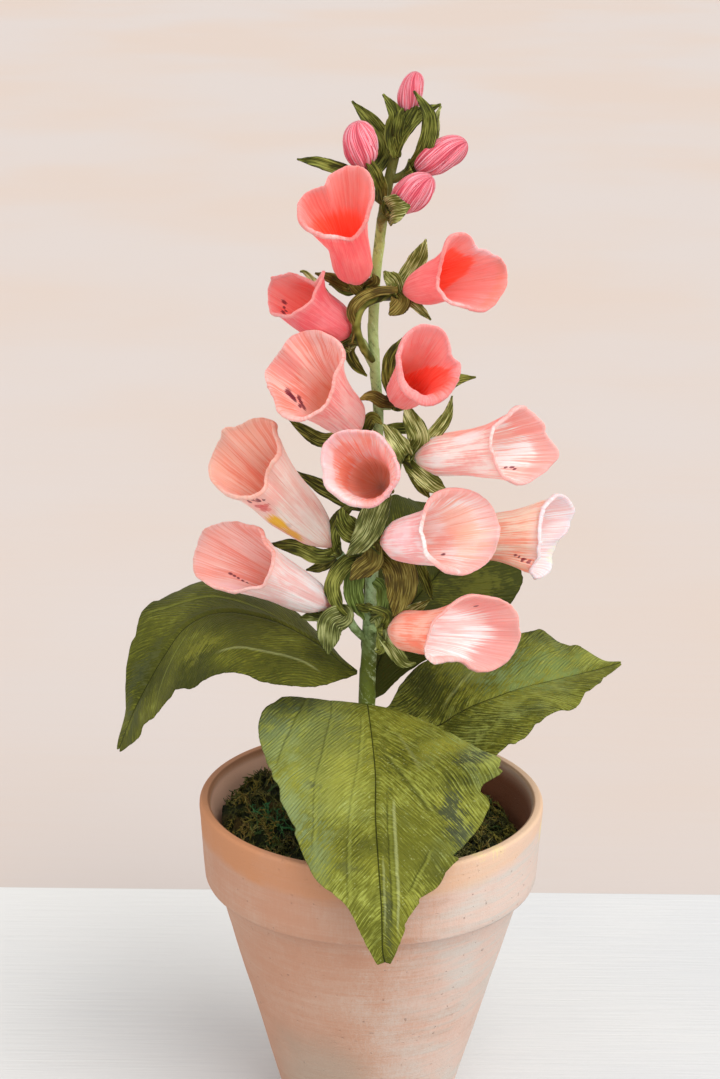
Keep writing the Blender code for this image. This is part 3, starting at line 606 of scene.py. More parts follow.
# paintedShade: how much darker the whole leaf is painted for the shade it lies in (above 0, lighter); it
# also dims the yellow, the sheen and the glints
# slope: how steeply the grain leans back from the midrib, on the left half and the right
# creases: (across, along) from one place to another, then depth and width
# stains: across, along, half width, half length, colour, strength
# bites: which half, where along the edge, how deep, how far it tapers before and after
leaves = {
    "front": dict(
        columns=116, rows=160, seed=1, arch=1.6, up=(0, 0, 1), ripple=0.35, paintedShade=0.02,
        slope=(1.0, 1.15),
        creases=[((-24, 12), (-33, 39), -0.5, 1.2), ((-14, 8), (-19.5, 40), -0.5, 1.1),
                 ((-19.5, 40), (-20, 63), -0.35, 1.1), ((-3.4, 9), (-9.2, 56), -0.3, 1.3),
                 ((-9.2, 56), (-10.4, 78), -0.35, 1.2), ((2.7, 24), (16.6, 50), -0.75, 2.6),
                 ((8, 18), (14, 36), 0.25, 1.4), ((5.8, 44), (5.0, 85), 0.7, 1.1),
                 ((3.7, 43), (3.0, 82), -0.65, 1.1), ((1.4, 62), (0.9, 83), 0.5, 0.8),
                 ((16, 61), (7.8, 74), -0.55, 1.2)],
        # on the left half, the light stain and the bluish sheen stains are painted light; the dark stains
        # on the right half are painted shade beside its folds
        stains=[(-20, 30, 14, 22, "bluishSheen", 0.25), (11, 62, 10, 12, "mid", 0.55),
                (2.4, 70, 2.2, 16, "dark", 0.35), (4, 13, 6, 9, "mid", 0.6),
                (3.4, 22, 2.6, 8, "dark", 0.45), (-20, 44, 3, 2, "soot", 0.8),
                (23.6, 51, 3.2, 5.5, "soot", 0.9), (26, 57, 3.5, 4, "soot", 0.75),
                (29.5, 34, 5.5, 3.6, "soot", 0.75), (-34, 24, 6, 6, "soot", 0.55),
                (-27, 17, 6, 3.4, "soot", 0.4), (-9, 66, 3.4, 2.6, "soot", 0.5),
                (-28, 52, 6, 12, "bluishSheen", 0.6), (-34, 33, 8, 10, "bluishSheen", 0.45),
                (-18, 64, 4, 8, "bluishSheen", 0.5), (21.5, 28, 7, 4.0, "yellow", 0.5),
                (-12, 37, 7, 11, "yellow", 0.35), (4.6, 84, 4, 5, "yellow", 0.6),
                (15, 68, 4.6, 6, "dark", 0.45), (10.5, 76, 3, 5, "dark", 0.4),
                (24, 44, 7, 12, "dark", 0.3), (-1, 76, 16, 15, "mid", 0.6),
                (2.2, 78, 1.3, 9, "soot", 0.6), (0, 84, 10, 10, "dark", 0.3),
                (-26, 40, 8, 10, "light", 0.3)],
        bites=[(1, 0.425, 2.4, 0.03, 0.012), (1, 0.5, 1.8, 0.05, 0.02), (1, 0.685, 3.6, 0.1, 0.012),
               (1, 0.825, 2.2, 0.05, 0.02), (1, 0.895, 1.6, 0.05, 0.015), (-1, 0.44, 2.6, 0.1, 0.03),
               (-1, 0.22, 1.0, 0.03, 0.02), (-1, 0.62, 1.2, 0.05, 0.02), (-1, 0.8, 1.0, 0.05, 0.02)],
        midrib=[(-1.6, -3.4, 140.4), (0, -21, 135), (1, -34, 129), (1, -46, 122), (2, -59, 112),
                (3, -66.5, 101), (3.4, -70, 90), (4.2, -70.6, 86)],
        left=[(-2.6, -3.4, 140.6), (-12, -3.4, 141.5), (-27, -4, 143), (-33, -9, 141), (-35, -14, 138),
              (-34, -24, 133), (-33, -30, 130), (-28, -36, 127), (-27.5, -39, 125), (-24, -48, 119.5),
              (-20, -56, 113.5), (-15, -62, 107), (-7, -67, 102), (-2, -70, 93), (2, -70.8, 85.2)],
        right=[(-0.6, -3.4, 140.4), (5, -6, 140.2), (15, -12, 139.2), (23, -20, 138), (31, -28, 137),
               (39.5, -36, 135.5), (38.5, -37, 132), (34, -38, 128.5), (35, -41, 124.5),
               (33, -45, 120.5), (30, -51, 115.5), (26, -55.5, 112.6), (22, -58.5, 110), (19, -62, 106),
               (14, -66, 103), (10, -69, 96.5), (7.5, -70.8, 90), (5.8, -70.8, 85.6)]),
    "left": dict(
        columns=84, rows=150, seed=2, arch=1.2, up=(0, 0, 1), ripple=0.6, paintedShade=-0.35, slope=(1.2, 1.0),
        creases=[((-24, 50), (-13, 17), 0.5, 1.3), ((3, 30), (20, 70), -0.35, 1.5),
                 ((-6, 60), (-24, 90), -0.3, 1.4)],
        stains=[(5, 82, 3, 12, "soot", 0.45), (-3, 92, 3, 7, "soot", 0.4),
                (-17, 56, 4, 7, "yellow", 0.45), (-20, 34, 10, 14, "dark", 0.3),
                (14, 60, 8, 12, "dark", 0.35), (0, 48, 30, 40, "yellow", 0.12)],
        bites=[(1, 0.6, 1.6, 0.04, 0.015), (1, 0.72, 1.4, 0.04, 0.02), (-1, 0.64, 1.8, 0.05, 0.02),
               (-1, 0.76, 1.6, 0.04, 0.02), (-1, 0.86, 1.2, 0.03, 0.02)],
        midrib=[(-5.0, -1.2, 150.6), (-9, -1.6, 153), (-15, -1, 158), (-22, 1, 162), (-29, 3, 165),
                (-36, 4, 167), (-45, 5, 168), (-53, 5, 166.6), (-60, 4.6, 162), (-66, 3, 153.5),
                (-71.5, 1, 144), (-76, -0.8, 135), (-80, -2, 124.4)],
        left=[(-5.0, -2.0, 150.4), (-10, -8, 151), (-15, -14, 152), (-19, -19, 153), (-24, -22, 154),
              (-32, -25, 157), (-41, -27, 160), (-50, -27, 159), (-55, -25, 155), (-60, -23, 152),
              (-65, -19, 146), (-67, -16, 142), (-71, -12, 137), (-73, -9, 132), (-76, -6, 128),
              (-80, -2.8, 123.4)],
        right=[(-5.0, -0.4, 150.8), (-10, 2, 154), (-15, 7, 158), (-23, 15, 163), (-33, 24, 166),
               (-40, 28, 167), (-54, 33, 168), (-65, 32, 165), (-73, 26, 161.5), (-76, 19, 157),
               (-78, 12, 150), (-78.5, 7, 142), (-78.5, 4, 134), (-80.4, 1, 127), (-81, -1.4, 123.6)]),
    "right": dict(
        columns=84, rows=130, seed=3, arch=1.0, up=(0, 0, 1), ripple=0.6, paintedShade=-0.09, slope=(1.3, 0.9),
        creases=[((4, 30), (22, 58), -0.3, 1.4), ((-5, 24), (-24, 52), 0.35, 1.6),
                 ((-4, 44), (-20, 68), -0.3, 1.3)],
        stains=[(-6, 54, 9, 15, "fresh", 0.55), (-14, 40, 8, 10, "bluishSheen", 0.3),
                (-8, 20, 9, 10, "dark", 0.5), (8, 26, 12, 13, "dark", 0.5),
                (20, 42, 8, 14, "dark", 0.3)],
        bites=[(1, 0.48, 1.8, 0.05, 0.015), (1, 0.58, 1.8, 0.05, 0.015), (1, 0.68, 1.8, 0.05, 0.015),
               (1, 0.8, 1.4, 0.05, 0.015), (1, 0.9, 1.0, 0.03, 0.015), (-1, 0.66, 1.6, 0.05, 0.02),
               (-1, 0.8, 1.4, 0.05, 0.02)],
        midrib=[(1.6, 0.6, 136.6), (10, -0.6, 132.4), (20, 0, 132), (27, 1, 136), (33, 2, 139),
                (39, 3, 141), (46, 5, 143), (54, 7, 144.4), (64, 10.6, 145.6), (73, 13.6, 146.8),
                (79.6, 16, 148)],
        left=[(1.6, 1.4, 136.8), (5, 4.4, 136.6), (7, 8, 138.4), (10, 13, 142), (16, 19, 145),
              (26, 25, 148.6), (37, 30, 150), (48, 33, 151), (55, 34, 152), (61, 31, 149.6),
              (66, 28, 149.4), (70, 24, 148.2), (75, 19, 147.4), (80, 16.6, 148.2)],
        right=[(1.6, -0.2, 136.2), (7, -8, 129.4), (18, -16, 125.6), (29, -22, 127.4),
               (38, -24.6, 132.6), (44, -24, 137), (49, -21.4, 140), (53, -17.4, 142.4), (60, -13, 143),
               (64, -8.6, 143.8), (67, -3.6, 145.4), (72, 3, 146.4), (75, 8.6, 147),
               (80, 15.4, 147.8)]),
    "back": dict(
        columns=70, rows=100, seed=4, arch=1.4, up=(0.5, -0.6, 0.6), ripple=0.8, paintedShade=-0.62,
        slope=(1.0, 1.2),
        creases=[((4, 24), (20, 48), -0.3, 1.4), ((-4, 24), (-18, 46), -0.3, 1.4)],
        stains=[(8, 30, 10, 10, "dark", 0.5), (14, 56, 8, 10, "yellow", 0.2)],
        bites=[(1, 0.74, 1.4, 0.05, 0.02), (1, 0.86, 1.4, 0.05, 0.02), (-1, 0.72, 1.4, 0.05, 0.02)],
        midrib=[(-1.0, 3.2, 139.6), (2, 8, 151), (8, 17, 161), (15, 28, 166.6), (21, 38, 170),
                (28, 52, 176), (34.2, 68.6, 182.6)],
        left=[(-1.8, 3.2, 139.8), (-3, 9, 151), (-3, 16, 162), (-2.4, 24, 173), (-1, 32, 182),
              (1.4, 40, 190), (5, 46, 193.4), (10, 51, 192.6), (14, 55, 189.6), (22, 62, 186),
              (33.4, 69.4, 183)],
        right=[(-0.2, 3.2, 139.4), (4, 7, 141), (8, 11, 144), (16, 19, 147), (27, 27, 149.6),
               (37, 34, 153.4), (45, 42, 159), (49, 48.4, 164.4), (49.6, 52, 169), (46, 58, 175.6),
               (41, 64, 180), (35, 69.4, 182.4)]),
}


def leafFinish(name, leafData):
    look = leafLook
    leaf = Finish(name, roughness=0.5, Specular_IOR_Level=0.12)
    # a leaf that lies in shade is painted darker as a whole
    paintedShade = leafData["paintedShade"]
    side, along, unused = leaf.pattern()
    out, ahead, unused = leaf.pattern("grain")
    place = leaf.place()
    reach = side.size()
    half = (side * 40).least(9.0).most(-9.0)
    # the grain runs outward and tipward from the midrib: line counts across it, run along it
    left, right = leafData["slope"]
    slope = (out * 4).step(-1.0, 1.0) * (right - left) + left
    steep = (slope * slope + 1) ** 0.5
    line = (ahead - out.size() * slope) / steep
    run = (out.size() + ahead * slope) / steep
    bend = leaf.speckle(leaf.vector(line * 0.10, run * 0.05, half), 1.0, 2.0, 0.5)
    broken = leaf.speckle(leaf.vector(line * 0.9, run * 0.10, half + 3), 1.0, 2.0, 0.6)
    ridges = ((line + (bend - 0.5) * 3.0) * (tau / look["ridge"])).sine() * broken.step(0.30, 0.62)
    ridges = ridges * (reach.step(0.5, 7.0) * 0.7 + 0.3)
    lines = leaf.speckle(leaf.vector(line, run * 0.05, half), 2.8, 1.0, 0.5)
    fine = leaf.speckle(leaf.vector(line, run * 0.10, half + 5), 4.4, 1.0, 0.5)
    patch = leaf.speckle(place, 0.045, 3.0, 0.5)
    mottle = leaf.speckle(place, 0.30, 3.0, 0.6)
    tone = ridges * 0.15 + sway((lines, 0.6), (fine, 0.9), (patch, 1.6), (mottle, 0.7)) + 0.48 + paintedShade
    colour = leaf.ramp(tone, (0.05, look["dark"]), (0.45, look["mid"]), (0.95, look["light"]))
    yellowed = leaf.speckle(leaf.moved(place, (90.0, 0.0, 40.0)), 0.055, 3.0, 0.55)
    yellowed = (yellowed + (lines - 0.5) * 0.3).step(0.48, 0.70)
    colour = leaf.mix(yellowed * (0.34 + paintedShade * 0.8), colour, look["yellow"])
    # bluish-grey patches: partly the paper's tint, partly a painted sheen that is stronger on lit leaves
    greySheen = leaf.speckle(leaf.moved(place, (0.0, 70.0, 0.0)), 0.045, 3.0, 0.55)
    greySheen = (greySheen + (lines - 0.5) * 0.3).step(0.50, 0.72)
    colour = leaf.mix(greySheen * (0.34 + paintedShade), colour, look["bluishSheen"])
    ragged = sway((mottle, 3.6), (lines, 2.4), (fine, 2.0)) + ridges * 0.3
    for at, reached, wide, long, hue, strength in leafData["stains"]:
        gap = (((side - at) / wide) ** 2 + ((along - reached) / long) ** 2) ** 0.5 + ragged
        colour = leaf.mix((1 - gap.step(0.3, 1.2)) * strength, colour, look[hue])
    # folded lines: painted shade in a valley with a painted highlight on its shoulder, and a painted
    # highlight along a ridge
    for start, end, depth, width in leafData["creases"]:
        way = Vector(end) - Vector(start)
        wayX, wayY = way.normalized()
        ahead = (side - start[0]) * wayX + (along - start[1]) * wayY
        off = (side - start[0]) * wayY - (along - start[1]) * wayX + (mottle - 0.5) * 0.8
        within = ahead.step(-2.0, 3.0) * (1 - ahead.step(way.length - 4.0, way.length + 2.0))
        if depth > 0:
            ridge = off.near(0.0, 0.1, 0.6 * width) * within
            colour = leaf.mix(ridge * 0.6 * depth, colour, look["glint"])
        else:
            valley, shoulder = off.near(0.0, 0.05, 0.45 * width), off.near(0.9, 0.1, 0.8)
            colour = leaf.mix(valley * within * min(-depth, 0.6), colour, look["dark"])
            colour = leaf.mix(shoulder * within * 0.3, colour, look["light"])
    sparks = leaf.speckle(place, 1.6, 1.0) + (lines - 0.5) * 0.5
    colour = leaf.mix(sparks.step(0.66, 0.80) * (0.35 + paintedShade), colour, look["glint"])
    rib = 1 - reach.step(0.10, 0.36)
    colour = leaf.mix(rib * 0.8, colour, look["rib"])
    height = ridges * 0.4 + lines * 0.5 + fine * 0.5 + mottle * 0.2 - rib * 0.6
    return leaf.done(colour, height, look["relief"], 0.48 + lines * 0.2)


def creaseLift(creases, side, along):
    # how far the folded lines lift or sink the paper here
    lift = 0.0
    for start, end, depth, width in creases:
        run = (end[0] - start[0], end[1] - start[1])
        size = run[0] ** 2 + run[1] ** 2
        t = between((side - start[0]) * run[0] + (along - start[1]) * run[1], 0.0, size)
        gap = math.hypot(side - start[0] - run[0] * t, along - start[1] - run[1] * t)
        if gap < 3 * width:
            fade = math.sin(math.pi * between(t, -0.12, 1.12)) ** 0.5
            lift += depth * math.exp(-(gap / width) ** 2 * 1.5) * fade
    return lift


def biteDepth(bites, half, v):
    # notches cut into the edge: a long slope, then a short step back
    return sum(depth * (between(v, at - before, at) if v < at else 1 - between(v, at, at + after))
               for side, at, depth, before, after in bites if side == half)


def makeLeaf(name, leaf, finish):
    midrib, left, right = Path(leaf["midrib"]), Path(leaf["left"]), Path(leaf["right"])
    up = Vector(leaf["up"]).normalized()
    seed = leaf["seed"]

    def place(u, v):
        offset = 2 * u - 1
        reach = abs(offset)
        isRight = offset > 0
        middle = midrib.at(v)
        edge = (left if offset < 0 else right).at(v)
        width = (edge - middle).length
        ends = math.sin(math.pi * v)
        # small tears and waves along the cut edge
        tear = 0.5 * fuzz(v * 34, seed, isRight) + 0.3 * fuzz(v * 95, seed, isRight)
        tear = (tear + 0.5 - biteDepth(leaf["bites"], 1 if isRight else -1, v)) / max(width, 4)
        point = middle.lerp(edge, reach * (1 + tear * reach ** 3 * ends ** 0.3))
        heading = midrib.along(v, 0.18)
        ahead = (point - middle).dot(heading)
        out = ((point - middle) - heading * ahead).length
        belly = leaf["arch"] * 4 * reach * (1 - reach) * ends
        wave = leaf["ripple"] * reach ** 2 * math.sin(tau * 5 * v) * ends
        # folds along the grain, the cut creases and soft crumples
        aside, down = reach * width, v * midrib.length
        side = math.copysign(aside, offset)
        grain = down + ahead - leaf["slope"][isRight] * out
        crease = 0.07 * (1 - abs(fuzz(grain / 5.5, (down + aside) / 42, seed + isRight))) ** 3
        crease += 0.05 * fuzz(grain / 2.6, (down + aside) / 14, 3 + seed + isRight)
        crease += creaseLift(leaf["creases"], side, down)
        crumple = 0.55 * fuzz(aside / 15, down / 18, seed * 3 + isRight * 5)
        crumple += 0.1 * fuzz(aside / 5, down / 6, seed)
        rib = -0.45 * (1 - ease(aside, 0, 1.1)) + 0.3 * (1 - ease(abs(aside - 1.8), 0, 1.4))
        lift = belly + wave + (crease + crumple * ease(reach, 0, 0.2)) * ends ** 0.5 + rib * ends
        return point + up * lift, (side, down), (math.copysign(out, offset), down + ahead)

    bm = bmesh.new()
    addSheet(bm, leaf["columns"], leaf["rows"], place, layouts=("sheet", "grain"))
    closeSeams(bm)
    makePiece("leaf_" + name + "_crepe", bm, [finish], ["leaf_" + name],
              wall=(leafLook["paper"], 0.0))


for name, leaf in leaves.items():
    makeLeaf(name, leaf, leafFinish("leafCrepe_" + name, leaf))
print("leaves made")


# bells
# lip: (turn from the far side, share of the length, radius)
# fold: where round the lip it is rolled back most, and by how much; wave: how much the lip wanders
bells = {
    "a": dict(
        base=(-5.7, -6, 276.2), mouth=(-11.5, -22, 300), narrow=4.6, waist=6, kind="coral",
        fold=(0.47, 0.8), wave=0.3,
        lip=[(0, 1.2, 10), (20, 1.2, 6.5), (50, 1.1, 11.5), (80, 1.1, 11.5), (105, 1.05, 11),
             (135, 0.97, 8.5), (180, 0.78, 4.5), (220, 0.8, 5.5), (245, 0.9, 7.5), (275, 1.1, 10.5),
             (310, 1.2, 13), (335, 1.2, 12.5)]),
    "b": dict(
        base=(7.3, -7, 273.7), mouth=(27, -24, 283.6), narrow=2.4, waist=6.0, kind="coral",
        fold=(0.5, 0.6), wave=0.4,
        lip=[(0, 1.25, 5.5), (25, 1.15, 6.5), (50, 1.05, 7), (70, 1.05, 10.5), (90, 1, 12),
             (105, 0.9, 10.5), (125, 0.75, 6.5), (150, 0.7, 5.5), (180, 0.75, 8), (210, 0.8, 9.5),
             (240, 0.9, 10), (270, 0.95, 12), (300, 1.05, 12), (330, 1.12, 11.5)]),
    "c": dict(
        base=(-8.1, -1.6, 259.1), mouth=(-27.4, -6.9, 273.4), narrow=4.4, waist=7.2, kind="coral",
        fold=(0.6, 0.4), wave=0.3,
        lip=[(0, 1.15, 6), (30, 1.05, 9.5), (60, 0.97, 9), (100, 0.92, 7), (140, 0.88, 7.2),
             (175, 0.85, 9), (200, 0.8, 9.5), (222, 0.82, 11), (238, 0.88, 15.5), (250, 0.8, 8.5),
             (275, 0.93, 6.5), (300, 1.08, 5.5), (330, 1.15, 4)]),
    "d": dict(
        base=(6.4, -5, 240.3), mouth=(14.1, -33, 258.2), narrow=3.8, waist=6.2, kind="coral",
        fold=(0.55, 3), wave=0.3,
        lip=[(0, 1.1, 10.5), (30, 1.08, 11), (60, 1.03, 10), (90, 1, 8.5), (120, 0.95, 8),
             (150, 0.9, 8.5), (180, 0.88, 9.5), (210, 0.88, 10.5), (240, 0.92, 10.5), (270, 1, 10),
             (292, 1.05, 9.8), (305, 1.08, 7.4), (325, 1.1, 7.5)]),
    "e": dict(
        base=(-4.8, -4, 230.5), mouth=(-23, -20, 252.5), narrow=4.4, waist=7.4, kind="pale",
        fold=(0.62, 0.5), wave=0.7,
        lip=[(0, 1.1, 9), (30, 1, 12.5), (60, 1.05, 11), (90, 0.95, 11), (110, 0.9, 12.5),
             (135, 0.82, 12.5), (155, 0.78, 11.5), (180, 0.75, 9.5), (210, 0.78, 9), (240, 0.85, 10.5),
             (265, 0.85, 13), (290, 0.9, 14), (315, 0.97, 14.5), (340, 1.05, 13)]),
    "f": dict(
        base=(2, -6, 213), mouth=(-5.6, -37, 227.6), narrow=3.8, waist=6.6, kind="pale",
        fold=(0.35, 1.2), wave=0.9,
        lip=[(0, 1.12, 11), (30, 1.1, 11.5), (60, 1.1, 10), (90, 1.05, 10), (120, 1, 9.8),
             (150, 0.92, 9.8), (180, 0.88, 10.5), (210, 0.9, 11), (240, 0.98, 12.2), (270, 1.02, 11.4),
             (300, 1.05, 12), (330, 1.1, 11)]),
    "g": dict(
        base=(11.4, -4, 221.7), mouth=(45, -13, 228), narrow=4.8, waist=7, kind="pale",
        fold=(0.36, 0.9), wave=0.4,
        lip=[(0, 1.12, 10.5), (25, 1.1, 10.5), (50, 1.05, 11.5), (80, 1, 12.5), (100, 0.92, 12),
             (120, 0.8, 10.5), (150, 0.77, 10.5), (180, 0.78, 9.5), (210, 0.8, 9), (240, 0.85, 9.5),
             (270, 0.92, 11), (295, 1, 12.5), (315, 1.12, 13.5), (332, 1.2, 13.5), (347, 1.15, 11.5)]),
    "h": dict(
        base=(-12.9, -4, 192.7), mouth=(-39.4, -13, 223.4), narrow=2.8, waist=7.8, kind="pale",
        fold=(0.55, 0.6), wave=0.4,
        lip=[(0, 1.22, 6), (30, 1.1, 12), (60, 1.05, 14), (90, 0.95, 12), (120, 0.9, 11),
             (150, 0.87, 11.5), (175, 0.85, 11), (200, 0.87, 8.5), (225, 0.93, 11), (250, 0.95, 11.5),
             (270, 1, 12), (285, 1.05, 14), (300, 1.1, 12.5), (330, 1.15, 9)]),
    "i": dict(
        base=(1.5, -8, 195.9), mouth=(25, -20, 202.4), narrow=3.6, waist=7.6, kind="pale",
        fold=(0.44, 2.4), wave=0.35,
        lip=[(0, 1.25, 13.5), (30, 1.15, 14.5), (60, 0.95, 14.5), (90, 0.8, 12.5), (120, 0.7, 10),
             (150, 0.7, 8.5), (180, 0.75, 10.5), (210, 0.85, 11.5), (240, 0.95, 11.5), (270, 1.05, 12),
             (300, 1.2, 12), (330, 1.3, 10)]),
    "j": dict(
        base=(13, 6, 192), mouth=(57.6, 7, 194.6), narrow=3.4, waist=6.8, kind="pale", fold=(0.55, 0.9),
        wave=0.5,
        lip=[(0, 1.1, 9), (30, 1.12, 11), (60, 1.05, 12), (90, 0.97, 12), (120, 0.89, 11),
             (150, 0.85, 10.5), (180, 0.85, 10.5), (210, 0.83, 10), (230, 0.78, 12), (250, 0.85, 13.5),
             (270, 0.93, 12), (300, 0.96, 8.5), (330, 1.02, 6)]),
    "k": dict(
        base=(-12.7, -4, 173.1), mouth=(-41.6, -14, 192), narrow=2.8, waist=6.6, kind="pale",
        fold=(0.55, 0.4), wave=0.6,
        lip=[(0, 1.28, 10.5), (30, 1.22, 14), (60, 1.2, 13.5), (90, 1.1, 11.5), (120, 0.97, 10),
             (150, 0.88, 9), (180, 0.8, 10), (205, 0.83, 12), (230, 0.85, 11.5), (255, 0.92, 10),
             (270, 0.98, 11.5), (300, 1.05, 11), (330, 1.2, 10.5)]),
    "l": dict(
        base=(4.2, -7, 167.1), mouth=(29, -18, 169.6), narrow=5, waist=6.8, kind="pale",
        fold=(0.62, 1.2), wave=0.4,
        lip=[(0, 1.45, 12), (30, 1.34, 13), (60, 1.15, 12.5), (90, 0.98, 12), (120, 0.75, 10),
             (150, 0.66, 9.5), (180, 0.6, 9), (205, 0.6, 10), (225, 0.68, 10), (245, 0.82, 8),
             (260, 0.95, 8.5), (275, 1.08, 12), (300, 1.25, 14.5), (330, 1.4, 13.5)]),
}
bellLook = dict(paper=0.42, columns=136, rows=50, roll=0.32, rollTurn=2.3, rollFrom=0.88, pleat=0.12,
                dent=0.8, ridge=0.22, taper=0.22)


def lipAt(lip, turn):
    # how far the lip reaches and how wide it is at a turn, in degrees
    count = len(lip)
    index = max(number for number in range(count) if lip[number][0] <= turn)
    points = [lip[(index + step) % count] for step in (-1, 0, 1, 2)]
    t = (turn - points[1][0]) / ((points[2][0] - points[1][0]) % 360.0)
    return [0.5 * (2 * b + (c - a) * t + (2 * a - 5 * b + 4 * c - d) * t ** 2
                   + (3 * b - a - 3 * c + d) * t ** 3)
            for a, b, c, d in list(zip(*points))[1:]]


def makeBell(name, bell, outside, inside):
    look = bellLook
    base, mouth = Vector(bell["base"]), Vector(bell["mouth"])
    axis = (mouth - base).normalized()
    length = (mouth - base).length
    far = across(axis, Vector((0, 1, 0)))
    foldTurn, foldRoll = bell["fold"]
    seed = ord(name) - 96

    def place(u, v):
        share = v ** 0.85
        angle = tau * u

        def crumple(close, height, other=0):
            return ringFuzz(angle, close, height, seed + other)

        lipReach, lipRadius = lipAt(bell["lip"], 360.0 * (u % 1.0))
        facing = 0.5 + 0.5 * math.cos(angle - tau * foldTurn)
        roll = look["roll"] + (foldRoll - look["roll"]) * facing ** 1.6
        # along the axis: a straight part, then the rolled lip with its ragged edge
        curl = between(share, look["rollFrom"], 1.0) * look["rollTurn"]
        straight = min(share, look["rollFrom"]) + (1 - look["rollFrom"]) * math.sin(curl)
        reach = length * straight * (1 + (lipReach - 1) * straight ** 1.2)
        ragged = 0.8 * crumple(2.6, 0) + 0.3 * crumple(7, 1) + 0.15 * crumple(19, 3)
        reach += ragged * ease(share, 0.75, 1.0)
        # away from the axis: a closed root, a slim body and a flared mouth
        close = 1 - between(share, 0, look["taper"])
        swelling = math.sin(0.5 * math.pi * between(share, 0, 0.55))
        body = bell["narrow"] + (bell["waist"] - bell["narrow"]) * swelling
        flare = between(min(share, 0.95), 0.45, 0.95) ** 1.8
        radius = body * (1 - close ** 1.6) ** 0.68 + (lipRadius - roll - bell["waist"]) * flare
        radius += 0.62 * roll * (1 - math.cos(curl)) + bell["wave"] * flare * crumple(1.9, 2)
        pleat = crumple(11, share * 1.6) + 0.5 * crumple(24, share * 2)
        dent = crumple(0.9, share * 3.2, 30) * math.sin(math.pi * share)
        ridge = (1 - 2 * abs(crumple(2.2, share * 1.1, 50))) ** 4
        relief = look["pleat"] * pleat + look["dent"] * dent + look["ridge"] * ridge
        radius += relief * ease(share, 0.0, 0.2)
        return base + axis * reach + ringPoint(axis, far, angle, radius), (u, share)

    bm = bmesh.new()
    addSheet(bm, look["columns"], look["rows"], place)
    closeSeams(bm, 0.002)
    middle = (base.lerp(mouth, 0.5)) * mm
    if sum(face.normal.dot(face.calc_center_median() - middle) for face in bm.faces) < 0:
        bmesh.ops.reverse_faces(bm, faces=bm.faces)
    makePiece("bell_" + name + "_petal", bm, [outside, inside],
              ["bell_" + name], wall=(look["paper"], -1.0), lining=True)


# the two papers; a bell's own hue changes what differs on it
# throatAt: shares of the length between which the deep colour fades
# lean: where the deep colour reaches less far, and by how much
# shine: where the rolled lip carries a painted highlight, how wide, how strongly
# glow: how strongly the inside of a bell glows with painted light
papers = {
    "coral": dict(
        outer=(0.9, 0.11, 0.12), outerPale=(0.96, 0.21, 0.2), outerEdge=(0.96, 0.3, 0.3),
        root=(0.72, 0.1, 0.09), inner=(0.93, 0.155, 0.13), innerPale=(0.96, 0.27, 0.25),
        innerEdge=(0.95, 0.26, 0.25), lipHighlight=(0.97, 0.58, 0.58), throat=(0.97, 0.072, 0.036),
        throatAt=(0.66, 0.9), lean=(0.0, 0.0), deep=1.0, glow=0.24, streak=0.6, shine=(0.5, 0.5, 0.5),
        edge=0.6),
    "pale": dict(
        outer=(0.9, 0.35, 0.31), outerPale=(0.95, 0.68, 0.63), outerEdge=(0.94, 0.34, 0.32),
        root=(0.86, 0.58, 0.46), inner=(0.92, 0.33, 0.25), innerPale=(0.96, 0.66, 0.61),
        innerEdge=(0.94, 0.38, 0.36), lipHighlight=(0.97, 0.8, 0.79), throat=(0.8, 0.33, 0.21),
        throatAt=(0.3, 0.72), lean=(0.0, 0.0), deep=0.8, glow=0.0, streak=1.0, shine=(0.5, 0.5, 0.3),
        edge=0.65),
}
